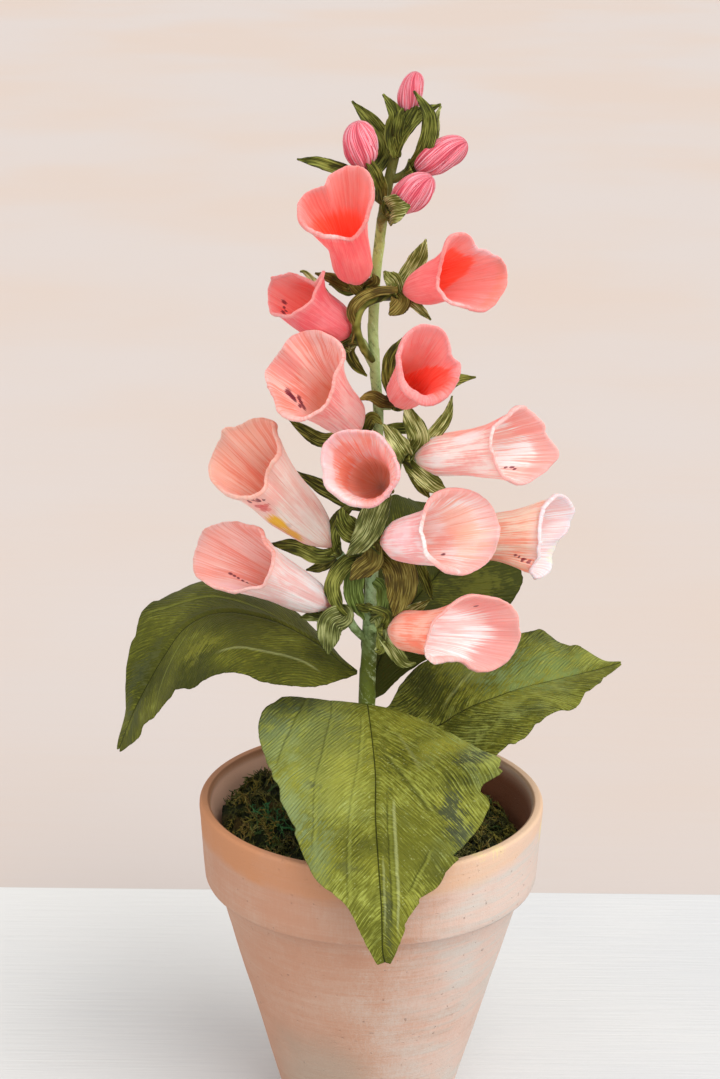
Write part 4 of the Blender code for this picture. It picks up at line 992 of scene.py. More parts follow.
# washes: turn, share of the length, half width, half length, hue, strength
# spots of ink: turn, share of the length, radius
hues = {
    "a": dict(
        throatAt=(0.68, 0.8), lean=(0.82, 0.09), shine=(0.42, 0.13, 0.75), edge=0.8,
        # this small near-white wash is a painted highlight
        innerWashes=[(0.335, 0.9, 1.5, 1.3, (0.99, 0.86, 0.87), 0.9)]),
    "b": dict(
        outer=(0.92, 0.135, 0.14), outerPale=(0.97, 0.24, 0.235), inner=(0.95, 0.205, 0.19),
        innerPale=(0.97, 0.3, 0.29), throatAt=(0.36, 0.44), lean=(0.62, 0.45), glow=0.2,
        shine=(0.58, 0.14, 0.6),
        # the first wash is a painted highlight on the near lip; the last is painted shade along the right
        # of the lip
        innerWashes=[(0.72, 0.5, 3.4, 1.6, (0.98, 0.62, 0.6), 0.8),
                     (0.1, 0.97, 4.0, 2.2, (0.98, 0.56, 0.6), 0.7),
                     (0.84, 0.93, 9.0, 1.2, (0.78, 0.2, 0.12), 0.4)]),
    "c": dict(
        outer=(0.92, 0.125, 0.15), outerPale=(0.96, 0.235, 0.25), inner=(0.94, 0.17, 0.165),
        innerPale=(0.96, 0.27, 0.26), throat=(0.94, 0.13, 0.11), deep=0.5, glow=0.07, streak=0.8,
        shine=(0.5, 0.5, 0.15),
        innerSpots=[(0.083, 0.81, 0.9), (0.112, 0.8, 0.6), (0.15, 0.81, 0.9), (0.128, 0.77, 0.5)]),
    "d": dict(
        outer=(0.94, 0.15, 0.15), outerPale=(0.97, 0.27, 0.26), outerEdge=(0.95, 0.22, 0.22),
        inner=(0.95, 0.22, 0.215), innerPale=(0.97, 0.38, 0.37), innerEdge=(0.95, 0.21, 0.21),
        throat=(0.95, 0.085, 0.048), throatAt=(0.48, 0.56), lean=(0.2, 0.45), glow=0.22, streak=0.9,
        shine=(0.3, 0.3, 0.12),
        # this wash is painted light on the far-left inner wall
        innerWashes=[(0.12, 0.45, 8.0, 10.0, (0.97, 0.4, 0.38), 0.75)]),
    "e": dict(
        outer=(0.9, 0.28, 0.27), outerPale=(0.95, 0.52, 0.49), inner=(0.86, 0.22, 0.17),
        innerPale=(0.93, 0.48, 0.44), throat=(0.8, 0.32, 0.2), deep=0.5, streak=1.0,
        shine=(0.5, 0.2, 0.2),
        innerWashes=[(0.05, 0.85, 5.0, 3.0, (0.93, 0.34, 0.33), 0.6)],
        innerSpots=[(0.178, 0.765, 1.5), (0.19, 0.735, 1.3), (0.205, 0.715, 1.1), (0.171, 0.645, 1.0),
                    (0.186, 0.625, 0.9), (0.215, 0.6, 1.4), (0.222, 0.65, 0.8), (0.235, 0.67, 0.7)]),
    "f": dict(
        outer=(0.93, 0.34, 0.36), outerPale=(0.97, 0.72, 0.73), inner=(0.94, 0.31, 0.24),
        innerPale=(0.97, 0.66, 0.66), innerEdge=(0.96, 0.36, 0.38), throat=(0.74, 0.31, 0.22),
        throatAt=(0.42, 0.5), deep=0.85, glow=0.22, shine=(0.3, 0.3, 0.3), edge=0.8,
        innerWashes=[(0.05, 0.8, 6.0, 4.0, (0.96, 0.24, 0.18), 0.7),
                     (0.16, 0.62, 9.0, 5.0, (0.97, 0.27, 0.17), 0.8),
                     (0.8, 0.7, 6.0, 6.0, (0.95, 0.42, 0.42), 0.6),
                     (0.2, 0.92, 8.0, 3.0, (0.97, 0.66, 0.7), 0.6)]),
    "g": dict(
        outer=(0.94, 0.37, 0.34), outerPale=(0.98, 0.76, 0.71), outerEdge=(0.94, 0.36, 0.34),
        inner=(0.92, 0.4, 0.36), innerPale=(0.96, 0.8, 0.79), innerEdge=(0.95, 0.38, 0.36),
        throat=(0.96, 0.72, 0.7), throatAt=(0.45, 0.8), deep=0.2, glow=0.15, streak=1.4,
        shine=(0.36, 0.07, 0.9), edge=0.9,
        innerWashes=[(0.15, 0.9, 9.0, 5.0, (0.93, 0.27, 0.24), 0.75),
                     (0.95, 0.95, 10.0, 3.5, (0.94, 0.3, 0.27), 0.7)],
        outerWashes=[(0.24, 0.48, 5.0, 14.0, (0.92, 0.26, 0.2), 0.8),
                     (0.34, 0.6, 3.0, 7.0, (0.98, 0.86, 0.86), 0.7),
                     (0.2, 0.9, 9.0, 4.0, (0.93, 0.27, 0.25), 0.8)],
        innerSpots=[(0.846, 0.73, 0.45), (0.852, 0.77, 0.55), (0.842, 0.8, 0.4)]),
    "h": dict(
        outer=(0.86, 0.4, 0.34), outerPale=(0.94, 0.68, 0.61), outerEdge=(0.94, 0.46, 0.42),
        root=(0.62, 0.22, 0.16), inner=(0.84, 0.26, 0.19), innerPale=(0.92, 0.47, 0.4),
        innerEdge=(0.93, 0.36, 0.28), throat=(0.8, 0.34, 0.22), deep=0.35, streak=0.9,
        shine=(0.5, 0.5, 0.12),
        outerWashes=[(0.435, 0.82, 8.0, 6.0, (0.93, 0.4, 0.36), 0.65),
                     (0.4, 0.8, 1.6, 1.3, (0.52, 0.07, 0.08), 0.75),
                     (0.418, 0.765, 1.5, 1.4, (0.58, 0.09, 0.09), 0.7),
                     (0.44, 0.785, 1.7, 1.2, (0.62, 0.11, 0.1), 0.65),
                     (0.398, 0.735, 1.4, 1.2, (0.58, 0.09, 0.09), 0.65),
                     (0.425, 0.72, 1.2, 1.0, (0.66, 0.14, 0.12), 0.55),
                     (0.385, 0.54, 3.8, 5.0, (0.84, 0.41, 0.012), 0.95),
                     (0.388, 0.37, 2.8, 5.5, (0.8, 0.37, 0.012), 0.9),
                     (0.44, 0.48, 1.0, 1.6, (0.45, 0.34, 0.3), 0.45)],
        outerSpots=[(0.398, 0.925, 0.9), (0.418, 0.905, 0.7), (0.44, 0.885, 0.8), (0.462, 0.87, 0.6),
                    (0.392, 0.885, 0.6), (0.604, 0.97, 0.6)]),
    "i": dict(
        outer=(0.94, 0.4, 0.41), outerPale=(0.97, 0.7, 0.71), inner=(0.94, 0.38, 0.34),
        innerPale=(0.97, 0.72, 0.71), innerEdge=(0.95, 0.34, 0.32), deep=0.1, streak=1.3,
        shine=(0.44, 0.2, 0.9), edge=0.9,
        innerWashes=[(0.02, 0.74, 7.0, 4.5, (0.96, 0.42, 0.33), 0.65),
                     (0.28, 0.66, 7.0, 4.0, (0.97, 0.84, 0.84), 0.6),
                     (0.9, 0.8, 6.0, 4.0, (0.97, 0.5, 0.36), 0.5)],
        outerWashes=[(0.4, 0.5, 6.0, 5.0, (0.96, 0.6, 0.64), 0.5)],
        innerSpots=[(0.829, 0.61, 0.6)]),
    "j": dict(
        outer=(0.95, 0.31, 0.22), outerPale=(0.97, 0.6, 0.49), outerEdge=(0.96, 0.5, 0.52),
        inner=(0.92, 0.5, 0.5), innerPale=(0.96, 0.79, 0.79), innerEdge=(0.96, 0.6, 0.64), deep=0.2,
        streak=1.6, shine=(0.5, 0.2, 0.3),
        innerWashes=[(0.83, 0.97, 4.0, 2.5, (0.93, 0.86, 0.56), 0.8)],
        outerSpots=[(0.585, 0.78, 0.7), (0.592, 0.82, 0.5), (0.604, 0.87, 0.7), (0.612, 0.91, 0.5)]),
    "k": dict(
        outer=(0.92, 0.44, 0.42), outerPale=(0.96, 0.77, 0.76), root=(0.74, 0.34, 0.28),
        inner=(0.86, 0.27, 0.22), innerPale=(0.95, 0.54, 0.52), innerEdge=(0.93, 0.34, 0.3),
        throat=(0.84, 0.38, 0.27), deep=0.25, streak=0.8, shine=(0.5, 0.3, 0.15),
        innerWashes=[(0.3, 0.8, 6.0, 6.0, (0.97, 0.55, 0.6), 0.6)],
        innerSpots=[(0.14, 0.78, 0.45), (0.147, 0.755, 0.4), (0.153, 0.73, 0.4), (0.16, 0.7, 0.4),
                    (0.166, 0.67, 0.35)]),
    "l": dict(
        outer=(0.93, 0.25, 0.17), outerPale=(0.95, 0.46, 0.38), inner=(0.94, 0.5, 0.48),
        innerPale=(0.97, 0.8, 0.8), innerEdge=(0.94, 0.33, 0.3), throat=(0.97, 0.76, 0.74),
        throatAt=(0.6, 0.85), deep=0.05, glow=0.28, streak=1.4, shine=(0.6, 0.12, 0.6), edge=0.9,
        innerWashes=[(0.86, 0.92, 9.0, 5.0, (0.93, 0.28, 0.26), 0.85),
                     (0.66, 0.94, 8.0, 3.6, (0.93, 0.31, 0.28), 0.75),
                     (0.17, 0.86, 9.0, 5.0, (0.94, 0.3, 0.27), 0.8),
                     (0.05, 0.93, 9.0, 4.0, (0.94, 0.28, 0.26), 0.8)],
        innerSpots=[(0.129, 0.84, 0.5)]),
}
# seep: how far red, green and blue light spread in the paper, against each other
petalLook = dict(ink=(0.115, 0.010, 0.030), inkStrength=0.92, inkLength=1.15, relief=0.30,
                 seep=(1.0, 0.5, 0.42))


def petalFinish(name, bell, colours, face):
    petal = Finish(name, roughness=0.6, Specular_IOR_Level=0.22, Sheen_Weight=0.1,
                   Sheen_Roughness=0.5, Subsurface_Weight=0.75, Subsurface_Scale=0.0028,
                   Subsurface_Radius=petalLook["seep"],
                   Emission_Strength=colours["glow"] if face == "inner" else 0.0)
    turn, share, unused = petal.pattern()
    seed = ord(name[-1]) * 3.7
    angle = turn * tau
    streaks = petal.wound(angle, share * 1.4 + seed, 8, 2.0, 0.6, 0.2)
    threads = petal.wound(angle, share * 2.0 + seed, 19, 1.0, 0.5)
    cloud = petal.wound(angle, share * 2.6 + seed, 1.6, 4.0, 0.6)
    fine = petal.wound(angle, share * 2.4 + seed, 36, 1.0, 0.5)
    flare = share.step(0.35, 0.80)
    tone = sway((streaks, 0.9), (threads, 1.5), (fine, flare * 1.7), (cloud, 2.4))
    tone = tone * colours["streak"] + 0.5
    colour = petal.mix(tone.step(0.0, 1.0), colours[face], colours[face + "Pale"])
    if face == "inner":
        low, high = colours["throatAt"]
        leanTurn, lean = colours["lean"]
        bias = ((turn - leanTurn) * tau).cosine() * lean
        deep = 1 - (share + bias + (streaks - 0.5) * 0.2).step(low, high)
        colour = petal.mix(deep * colours["deep"] * (1.15 - threads * 0.5), colour, colours["throat"])
        # painted light: deep in the bell the paper glows, standing in for the light that comes through it
        lit = deep * share.step(0.15, 0.5) * (0.4 + streaks * 0.8 + (threads - 0.5) * 1.6)
        glow = petal.mix(lit, (0.0, 0.0, 0.0), colours["throat"])
        connect(petal.tree, petal.shader.inputs["Emission Color"], glow)
    else:
        colour = petal.mix((1 - share.step(0.02, 0.16)) * 0.8, colour, colours["root"])
    girth = 0.5 * bell["waist"] + 5.5        # mm round the lip per radian
    length = (Vector(bell["mouth"]) - Vector(bell["base"])).length
    washes = colours.get(face + "Washes", [])
    washes = washes + [(at, reach, size, size * petalLook["inkLength"], petalLook["ink"],
                        petalLook["inkStrength"]) for at, reach, size in colours.get(face + "Spots", ())]
    for at, reach, wide, long, hue, strength in washes:
        over = ((turn - at) * math.pi).sine() * (2 * girth / wide)
        along = (share - reach) * (length / long)
        gap = (over * over + along * along) ** 0.5 + sway((streaks, 0.9), (threads, 0.7), (fine, 0.9))
        colour = petal.mix((1 - gap.step(0.6, 1.1)) * strength, colour, hue)
    edge = (share + sway((streaks, 0.16), (fine, 0.14))).step(0.86, 0.99)
    colour = petal.mix(edge * colours["edge"], colour, colours[face + "Edge"])
    # a painted highlight on the rolled lip, on the side where it faces the light
    shineTurn, spread, strength = colours["shine"]
    near = ((turn - shineTurn) * tau).cosine() + (streaks - 0.5) * 0.6
    limit = math.cos(math.pi * spread)
    pale = share.step(0.86, 0.93) * near.step(limit - 0.25, limit + 0.35)
    colour = petal.mix(pale * strength, colour, colours["lipHighlight"])
    return petal.done(colour, streaks * 0.9 + threads * 0.6 + fine * flare * 0.5, petalLook["relief"])


for name, bell in bells.items():
    colours = dict(papers[bell["kind"]], **hues[name])
    makeBell(name, bell, petalFinish("petalOutside_" + name, bell, colours, "outer"),
             petalFinish("petalInside_" + name, bell, colours, "inner"))
print("bells made")


# buds
buds = {
    "1": dict(base=(7.4, -0.4, 325.4), tip=(10.6, -3, 338), radius=3.5),
    "2": dict(base=(-5, -5, 310), tip=(-6.3, -8, 324.3), radius=5.1),
    "3": dict(base=(10.6, -1, 309.4), tip=(25.5, -5, 318.1), radius=4.6),
    "4": dict(base=(4.4, -7, 298.4), tip=(15.3, -12, 309), radius=4.7),
}
budLook = dict(columns=112, rows=54, depth=0.16, lap=0.17, twist=0.9, relief=0.5,
               deep=(0.56, 0.036, 0.080), pink=(0.86, 0.120, 0.170), pale=(0.96, 0.48, 0.56))


def budFinish():
    bud = Finish("budCrepe", roughness=0.45, Specular_IOR_Level=0.42, Sheen_Weight=0.2,
                 Sheen_Roughness=0.5, Subsurface_Weight=0.2, Subsurface_Radius=(0.6, 0.2, 0.18),
                 Subsurface_Scale=0.002)
    turn, share, unused = bud.pattern()
    spiral = turn * tau + share * budLook["twist"]
    pleats = bud.wound(spiral, share * 0.9, 7, 3.0, 0.6)
    threads = bud.wound(spiral, share * 1.6, 20, 2.0, 0.6)
    tone = sway((pleats, 3.6), (threads, 2.8)) + 0.48
    colour = bud.ramp(tone, (0.05, budLook["deep"]), (0.45, budLook["pink"]), (0.95, budLook["pale"]))
    return bud.done(colour, pleats * 0.9 + threads * 0.7, budLook["relief"])


def makeBud(name, bud, finish):
    base, tip = Vector(bud["base"]), Vector(bud["tip"])
    axis = (tip - base).normalized()
    length = (tip - base).length
    first = across(axis, Vector((0, 1, 0)))
    seed = 40 + int(name)

    def place(u, v):
        angle = tau * u
        swirl = angle + budLook["twist"] * v
        radius = bud["radius"] * 1.02 * max(1 - abs(2 * v ** 0.88 - 1) ** 2.5, 0.0) ** 0.55
        radius *= 0.80 + 0.20 * ease(v, 0.0, 0.4)
        ridge = ringFuzz(swirl, 3.4, v * 0.8, seed) + 0.5 * ringFuzz(swirl, 8, v, seed)
        # the outer petal laps over the next along a slow spiral
        lap = (u * 2 + 0.55 * v + 0.13 * seed) % 1.0
        radius *= 1 + budLook["depth"] * ridge + budLook["lap"] * (lap - 0.5) * ease(v, 0.1, 0.6)
        return base + axis * length * v + ringPoint(axis, first, angle, radius), (u, v)

    bm = bmesh.new()
    addSheet(bm, budLook["columns"], budLook["rows"], place)
    closeSeams(bm)
    makePiece("bud_" + name + "_pleated", bm, [finish], ["bud_" + name])


finish = budFinish()
for name, bud in buds.items():
    makeBud(name, bud, finish)
print("buds made")


# sepals, bracts and stem
# each paper: its dark, middle and light threads
stripTones = {
    "olive": ((0.028, 0.032, 0.002), (0.092, 0.104, 0.009), (0.28, 0.30, 0.060)),
    "light": ((0.075, 0.088, 0.010), (0.215, 0.245, 0.052), (0.66, 0.70, 0.33)),
    "grey": ((0.044, 0.052, 0.008), (0.120, 0.138, 0.028), (0.40, 0.43, 0.18)),
    "brown": ((0.055, 0.036, 0.004), (0.125, 0.092, 0.010), (0.30, 0.25, 0.060)),
    "grass": ((0.070, 0.100, 0.014), (0.140, 0.200, 0.034), (0.30, 0.40, 0.10)),
}
toneOrder = list(stripTones)
# widen: slips are cut this much wider than the table says; facing: where their smooth side looks
stripLook = dict(columns=22, rows=36, paper=0.4, rib=0.2, widen=1.1, tail=0.15, facing=(0, -1, 0.35),
                 rootBehind=2.2, relief=0.34)
# cup: the calyx behind a flower, and how far it overlaps it; pitch: one turn of the wound paper
stemLook = dict(sides=28, rings=320, pitch=16.0, wrap=0.2, stalk=1.35, stalkSides=16, cup=3.6,
                overlap=0.2, cupRadius=3.2, relief=0.4, dark=(0.075, 0.095, 0.020),
                light=(0.64, 0.74, 0.44))
# slips of paper behind each flower and on the stem:
# width, paper, how far it cups towards the front, turn in degrees from root to tip, points
# "root" is the place behind the flower where most of its slips start
slips = {
    "a": [
        (3.2, "brown", 0.25, 0, ["root", (-9.7, -6, 275.3), (-14.2, -8, 278.1), (-18.6, -8, 279.5)]),
        (1.7, "olive", 0.2, 0, ["root", (-8.8, -4, 272.7), (-12.4, -5, 274.7), (-14.5, -5, 275.6)]),
        (4, "brown", -0.3, 0, ["root", (-4.7, -8, 274.2), (-7.1, -11, 277.3), (-7.7, -12, 279.6)]),
        (3.4, "brown", -0.3, 0, ["root", (-1.2, -9, 277.2), (-1.5, -11, 280)]),
    ],
    "b": [
        (3.1, "brown", -0.3, 0,
         [(5.9, -10.6, 275.2), (0.6, -11, 275), (-4.7, -11, 272.8), (-7.6, -9.5, 268.5),
          (-6.4, -7.5, 263.5), (-7.5, -6, 258)]),
        (5.2, "light", 0.25, 0, ["root", (8.9, -5, 278.3), (12.1, -6, 284.2), (14, -7, 289.8)]),
        (4.6, "light", 0.2, 0, ["root", (4.8, -7, 276.8), (3, -8, 278.8), (1.8, -8, 280.3)]),
        (5.6, "brown", 0.3, 0, ["root", (6.9, -10, 271.8), (5.4, -11, 269.6), (3.4, -11, 267.8)]),
        (2.6, "light", 0.3, 0, ["root", (10.8, -8, 270.5), (13.2, -8, 268.4), (15.9, -8, 265.7)]),
    ],
    "c": [
        (3, "olive", 0.3, 30, ["root", (-8.1, -2, 254.2), (-6, -2, 249.9), (-2.9, -1, 246.6)]),
        (4, "light", 0.3, 0, ["root", (-9.9, -2, 255.7), (-8.1, -3, 254.5)]),
        (3.4, "light", 0.2, 0, ["root", (-19.8, 5, 274.9), (-23.4, 6, 277.1)]),
    ],
    "d": [
        (4, "olive", -0.3, 0, ["root", (3.7, -6, 246.7), (4.2, -8, 254.3), (7.4, -9, 260.4)]),
        (3.6, "brown", 0.25, 0, ["root", (2.3, -8, 240.4), (-1.7, -9, 242.5), (-5.5, -9, 241.2)]),
        (4.6, "olive", 0.25, 0, ["root", (15.5, -6, 243.1), (23.4, -8, 247.4), (29.7, -8, 248.4)]),
    ],
    "e": [
        (4.2, "olive", 0.25, 0, ["root", (-7.3, 2, 227.5), (-16.5, 3, 225.2), (-27.2, 4, 231.8)]),
        (3.6, "olive", 0.3, 0, ["root", (-1.3, -6, 234.8), (1.8, -8, 233.5)]),
    ],
    "f": [
        (5, "olive", 0.25, 0, ["root", (-4, 1, 205.8), (-13.9, 3, 208.9), (-24.8, 4, 214.9)]),
        (4, "brown", 0.2, 0, ["root", (2.4, -3, 211.9), (5.7, -4, 210.9)]),
        (8, "grey", 0.22, 35, ["root", (-0.3, -10, 205.1), (-3.3, -11, 198.3), (-8.7, -10, 192.1)]),
    ],
    "g": [
        (6, "light", 0.25, -20, ["root", (13, -6, 228.1), (10.8, -7, 234.6), (8.6, -6, 239.9)]),
        (5.4, "light", 0.3, 10, ["root", (8.2, -8, 224.8), (4.8, -9, 230.1), (2.1, -8, 233.5)]),
        (3.6, "olive", 0.2, 0, ["root", (13.4, -1, 229.8), (7.3, 0, 230.1), (-0.3, 1, 229.5)]),
        (4, "light", 0.3, 30, ["root", (16.4, -6, 228.8), (21, -7, 235.7), (22.7, -8, 242.5)]),
        (5.6, "light", 0.25, 0, ["root", (14.7, -8, 217.3), (18.4, -8, 214.2), (22.4, -8, 212)]),
        (3.4, "olive", 0.25, 0, ["root", (13.6, -6, 214.2), (16.7, -6, 209.8)]),
    ],
    "h": [
        (4.6, "olive", 0.25, 0, ["root", (-17.4, -5, 190.4), (-24.1, -6, 193.6), (-31.8, -7, 194.8)]),
        (4.4, "olive", -0.35, 0, ["root", (-12.8, -7, 198.2), (-9.8, -8, 205), (-5.5, -8, 208.2)]),
        (3.4, "olive", 0.2, 0, ["root", (-16.3, 3, 184.4), (-21.3, 5, 182.4)]),
    ],
    "i": [
        (6.4, "brown", 0.3, 0, ["root", (-0.8, -9, 190.6), (-4.4, -11, 188), (-7.4, -12, 185.1)]),
    ],
    "j": [
        (3.6, "olive", 0.25, 0, ["root", (16.1, 8, 178.4), (18.5, 9, 171.4)]),
    ],
    "k": [
        (4, "olive", 0.25, 0, ["root", (-16.7, -6, 172.7), (-22.2, -7, 175.3), (-28.1, -7, 176.6)]),
        (3, "light", 0.25, 0, ["root", (-17.4, -2, 169.6), (-23, 0, 168.5)]),
        (7.4, "grey", 0.3, -20, ["root", (-9.8, -8, 171.9), (-13.5, -10, 170), (-14, -11, 160.4)]),
    ],
    "l": [
        (2.8, "olive", 0.25, 0, ["root", (4.1, -9, 171.8), (2.8, -10, 174.1), (-2.4, -10, 175.7)]),
        (4.4, "light", 0.3, 0, ["root", (8.3, -9, 158.6), (10.8, -10, 157), (13.3, -10, 157.4)]),
        (3, "olive", 0.3, 0, ["root", (2.4, -8, 160.8), (0.5, -9, 160.5)]),
        (3.6, "light", 0.25, 0, ["root", (11.3, -4, 172), (14.6, -5, 174.4), (17.7, -6, 177.1)]),
    ],
    "s": [
        (7, "olive", 0.25, 0,
         [(-0.8, -1, 195.7), (-7, -6, 199.2), (-9.7, -9, 204), (-10.1, -10, 207.8)]),
        (4.6, "olive", -0.45, 0,
         [(-2, -2, 188.2), (-8.1, -6, 188.9), (-12.7, -9, 183), (-11.1, -9, 175.5), (-7.7, -7, 171.2)]),
        (5.6, "grass", 0.2, 0,
         [(-0.7, -1, 190.5), (-5.3, -3, 185.3), (-6.2, -4, 177.7), (-3, -3, 168.8)]),
        (9.4, "brown", 0.2, 10,
         [(0.8, -2, 193.2), (6.6, -8, 189.7), (8.5, -11, 183), (6.2, -10, 172.8)]),
        (3.8, "grass", 0.3, 0, [(0, -1, 181.4), (2.5, -5, 180.2), (2.8, -6, 175.3), (1.3, -5, 170.3)]),
        (3.2, "light", 0.4, 0,
         [(-0.8, -2, 167.8), (1.7, -5, 170.3), (2.6, -7, 165.1), (0.5, -7, 160.4)]),
        (2.6, "olive", 0.3, 0, [(-0.5, -2, 173.1), (-3, -5, 173.5), (-5.5, -6, 175.2)]),
        (2.6, "olive", 0.3, 0, [(-0.8, -2, 170.5), (1.3, -6, 172.6), (4.4, -7, 173.7)]),
        (3.4, "olive", 0.3, 0,
         [(1, -1, 299.6), (0.6, -5, 304.4), (-1.8, -8, 310.7), (-5.4, -9, 314.9)]),
    ],
    "2": [
        (5.2, "olive", 0.3, 0, ["root", (-0.1, 2, 310.6), (1.3, 4, 317.1), (-8.2, 5, 328.3)]),
        (3.4, "olive", 0.25, 0, ["root", (-12.6, -7, 310.5), (-18.2, -8, 312.3), (-24, -8, 313.1)]),
    ],
    "1": [
        (4.2, "olive", 0.35, 0,
         [(5.2, -1.5, 312.7), (3.6, -2.5, 319.3), (4.4, -3.5, 325.8), (0.8, -4, 331.6)]),
        (4.0, "olive", 0.3, 0,
         [(4.3, -1.5, 313.3), (6.5, -3, 319.9), (11.4, -4, 325.7), (17.7, -5, 329)]),
        (3.0, "olive", 0.3, 0, [(5.4, -2, 318), (5.6, -3.5, 323.5), (6.7, -4.2, 327.7)]),
        (4.4, "olive", -0.3, 0, [(6, -2.5, 319.3), (8.5, -4, 324.2), (10.7, -4.5, 328.3)]),
    ],
    "3": [
        (4.4, "olive", 0.3, 20, ["root", (13, -4, 315.5), (14.2, -6, 325.1), (9.7, -8, 333.1)]),
        (3.2, "light", 0.3, 0, ["root", (15.1, -1, 317.4), (16.4, -1, 324.4), (17.8, -1, 327.9)]),
    ],
    "4": [
        (8, "light", 0.25, 0, ["root", (4.1, -12, 299.2), (6.7, -14, 300.2), (9, -15, 301)]),
        (3, "olive", 0.3, 0, ["root", (2.4, -8, 299.6), (3.2, -8, 302.6)]),
    ],
}
stalks = {
    "a": [(-0.7, 0, 271)],
    "b": [(-0.8, 0, 251), (-4, -4.5, 256), (-6.2, -6.5, 263), (-4.6, -8, 269.4), (0, -8.8, 272.4)],
    "c": [(-0.9, 0, 249)], "d": [(0.4, 0, 237)], "e": [(0.4, 0, 224)], "f": [(0.2, 0, 207)],
    "g": [(0.4, 0, 213), (6, -2, 217)], "h": [(-0.7, 0, 184), (-6, -2, 187)], "i": [(-0.2, -1, 189)],
    "j": [(-0.2, 0.5, 187), (5, 3, 189.5)], "k": [(-1.2, 0, 160), (-6, -2.2, 166)], "l": [(-1, 0, 161)],
    "2": [(1.6, 0, 299)], "3": [(3.1, 0, 306)], "4": [(0.7, 0, 291)],
}
# the stem: points, and its radius there
stem = [(-2.0, 0.0, 30.0, 2.8), (-2.0, 0.0, 110.0, 2.8), (-1.8, 0.0, 142.0, 2.7), (-1.2, 0.0, 160.0, 2.4),
        (-0.7, 0.0, 180.0, 2.0), (0.0, 0.0, 205.0, 1.8), (0.7, 0.0, 232.0, 1.6), (-0.6, 0.0, 250.0, 1.6),
        (-1.2, 0.0, 262.0, 1.6), (-0.6, 0.0, 278.0, 1.6), (0.9, 0.0, 292.0, 1.6), (2.4, 0.0, 303.0, 1.6),
        (4.8, 0.0, 314.0, 1.4), (6.3, 0.0, 321.0, 1.3)]
# colours up the stem: share of the height, hue; the dark olive low down is partly the paper and partly
# painted shade under the leaves
stemBands = [(0.38, (0.10, 0.135, 0.014)), (0.43, (0.11, 0.145, 0.018)), (0.465, (0.08, 0.10, 0.010)),
             (0.51, (0.26, 0.36, 0.15)), (0.545, (0.46, 0.62, 0.33)), (0.66, (0.35, 0.50, 0.22)),
             (0.79, (0.44, 0.56, 0.22)), (0.87, (0.48, 0.55, 0.17)), (0.90, (0.12, 0.12, 0.022))]


def stripFinish(name, dark, mid, line):
    strip = Finish(name, roughness=0.6, Specular_IOR_Level=0.2, Sheen_Weight=0.06, Sheen_Roughness=0.4)
    side, along, unused = strip.pattern()
    place = strip.place()
    ribs = strip.speckle(strip.vector(side, along * 0.04, 0.0), 2.7, 1.0, 0.5)
    threads = strip.speckle(strip.vector(side, along * 0.06, 5.0), 3.4, 1.0, 0.5)
    cloud = strip.speckle(place, 0.16, 3.0)
    tone = sway((ribs, 1.7), (threads, 2.3), (cloud, 1.8)) + 0.42
    colour = strip.ramp(tone, (0.08, dark), (0.45, mid), (1.0, line))
    return strip.done(colour, ribs * 0.9 + threads * 0.5, stripLook["relief"])


def addStrip(bm, points, width, seed, tone, cup, twist):
    # a cut slip of crepe along a smooth curve, ribbed lengthwise, with a curled edge
    line = Path(points)
    front = Vector(stripLook["facing"])

    def place(u, v):
        along = line.along(v)
        normal = across(along, front)
        normal = Matrix.Rotation(math.radians(twist) * v, 3, along) @ normal
        sideways = along.cross(normal)
        offset = 2 * u - 1
        half = 0.5 * width * (0.42 + 0.58 * math.sin(math.pi * min(v / 0.92, 1.0)) ** 0.7)
        half *= 1 - (1 - stripLook["tail"]) * between(v, 0.72, 1.0) ** 1.4
        half *= 1 + 0.14 * fuzz(v * 7, offset > 0, seed) + 0.05 * fuzz(v * 40, offset > 0, seed)
        side = offset * half
        ribs = fuzz(side * 1.1, v * 1.5, seed) + 0.6 * fuzz(side * 2.6, v * 2.5, seed + 9)
        curve = cup * half * abs(offset) ** 1.5 + 0.35 * fuzz(v * 3, offset, seed + 4)
        return (line.at(v) + sideways * half * offset + normal * (curve + stripLook["rib"] * ribs),
                (side + 31 * seed, v * line.length + 7 * seed))

    addSheet(bm, stripLook["columns"], stripLook["rows"], place, toneOrder.index(tone))


def addSlips(bm, name, seed, step, root=None):
    # seed and step: each slip gets its own unevenness
    for number, (width, tone, cup, twist, points) in enumerate(slips.get(name, ())):
        points = [root if point == "root" else point for point in points]
        addStrip(bm, points, width * stripLook["widen"], seed + number * step, tone, cup, twist)


def addTube(bm, points, radii, sides, rings, seed, look=0):
    # a round stalk with paper wound round it
    line = Path(points)
    wrap = stemLook["wrap"]

    def place(u, v):
        angle = tau * u
        along = line.along(v)
        first = across(along, Vector((1.0, 0.3, 0.0)))
        turn = (u + v * line.length / stemLook["pitch"]) % 1.0
        wound = turn ** 3 - 0.3 + 0.32 * ringFuzz(angle, 3, v * line.length / 5, seed)
        radius = radii(v) + wrap * wound
        return line.at(v) + ringPoint(along, first, angle, radius), (u, v * line.length)

    mergePoints(bm, addSheet(bm, sides, rings, place, look))


def flowerOf(name):
    # the base of a bell or bud, where it points, and its radius at the shoulder
    flower = bells.get(name) or buds[name]
    end = Vector(flower.get("mouth") or flower["tip"])
    base = Vector(flower["base"])
    return base, (end - base).normalized(), flower.get("narrow") or 0.7 * flower["radius"]


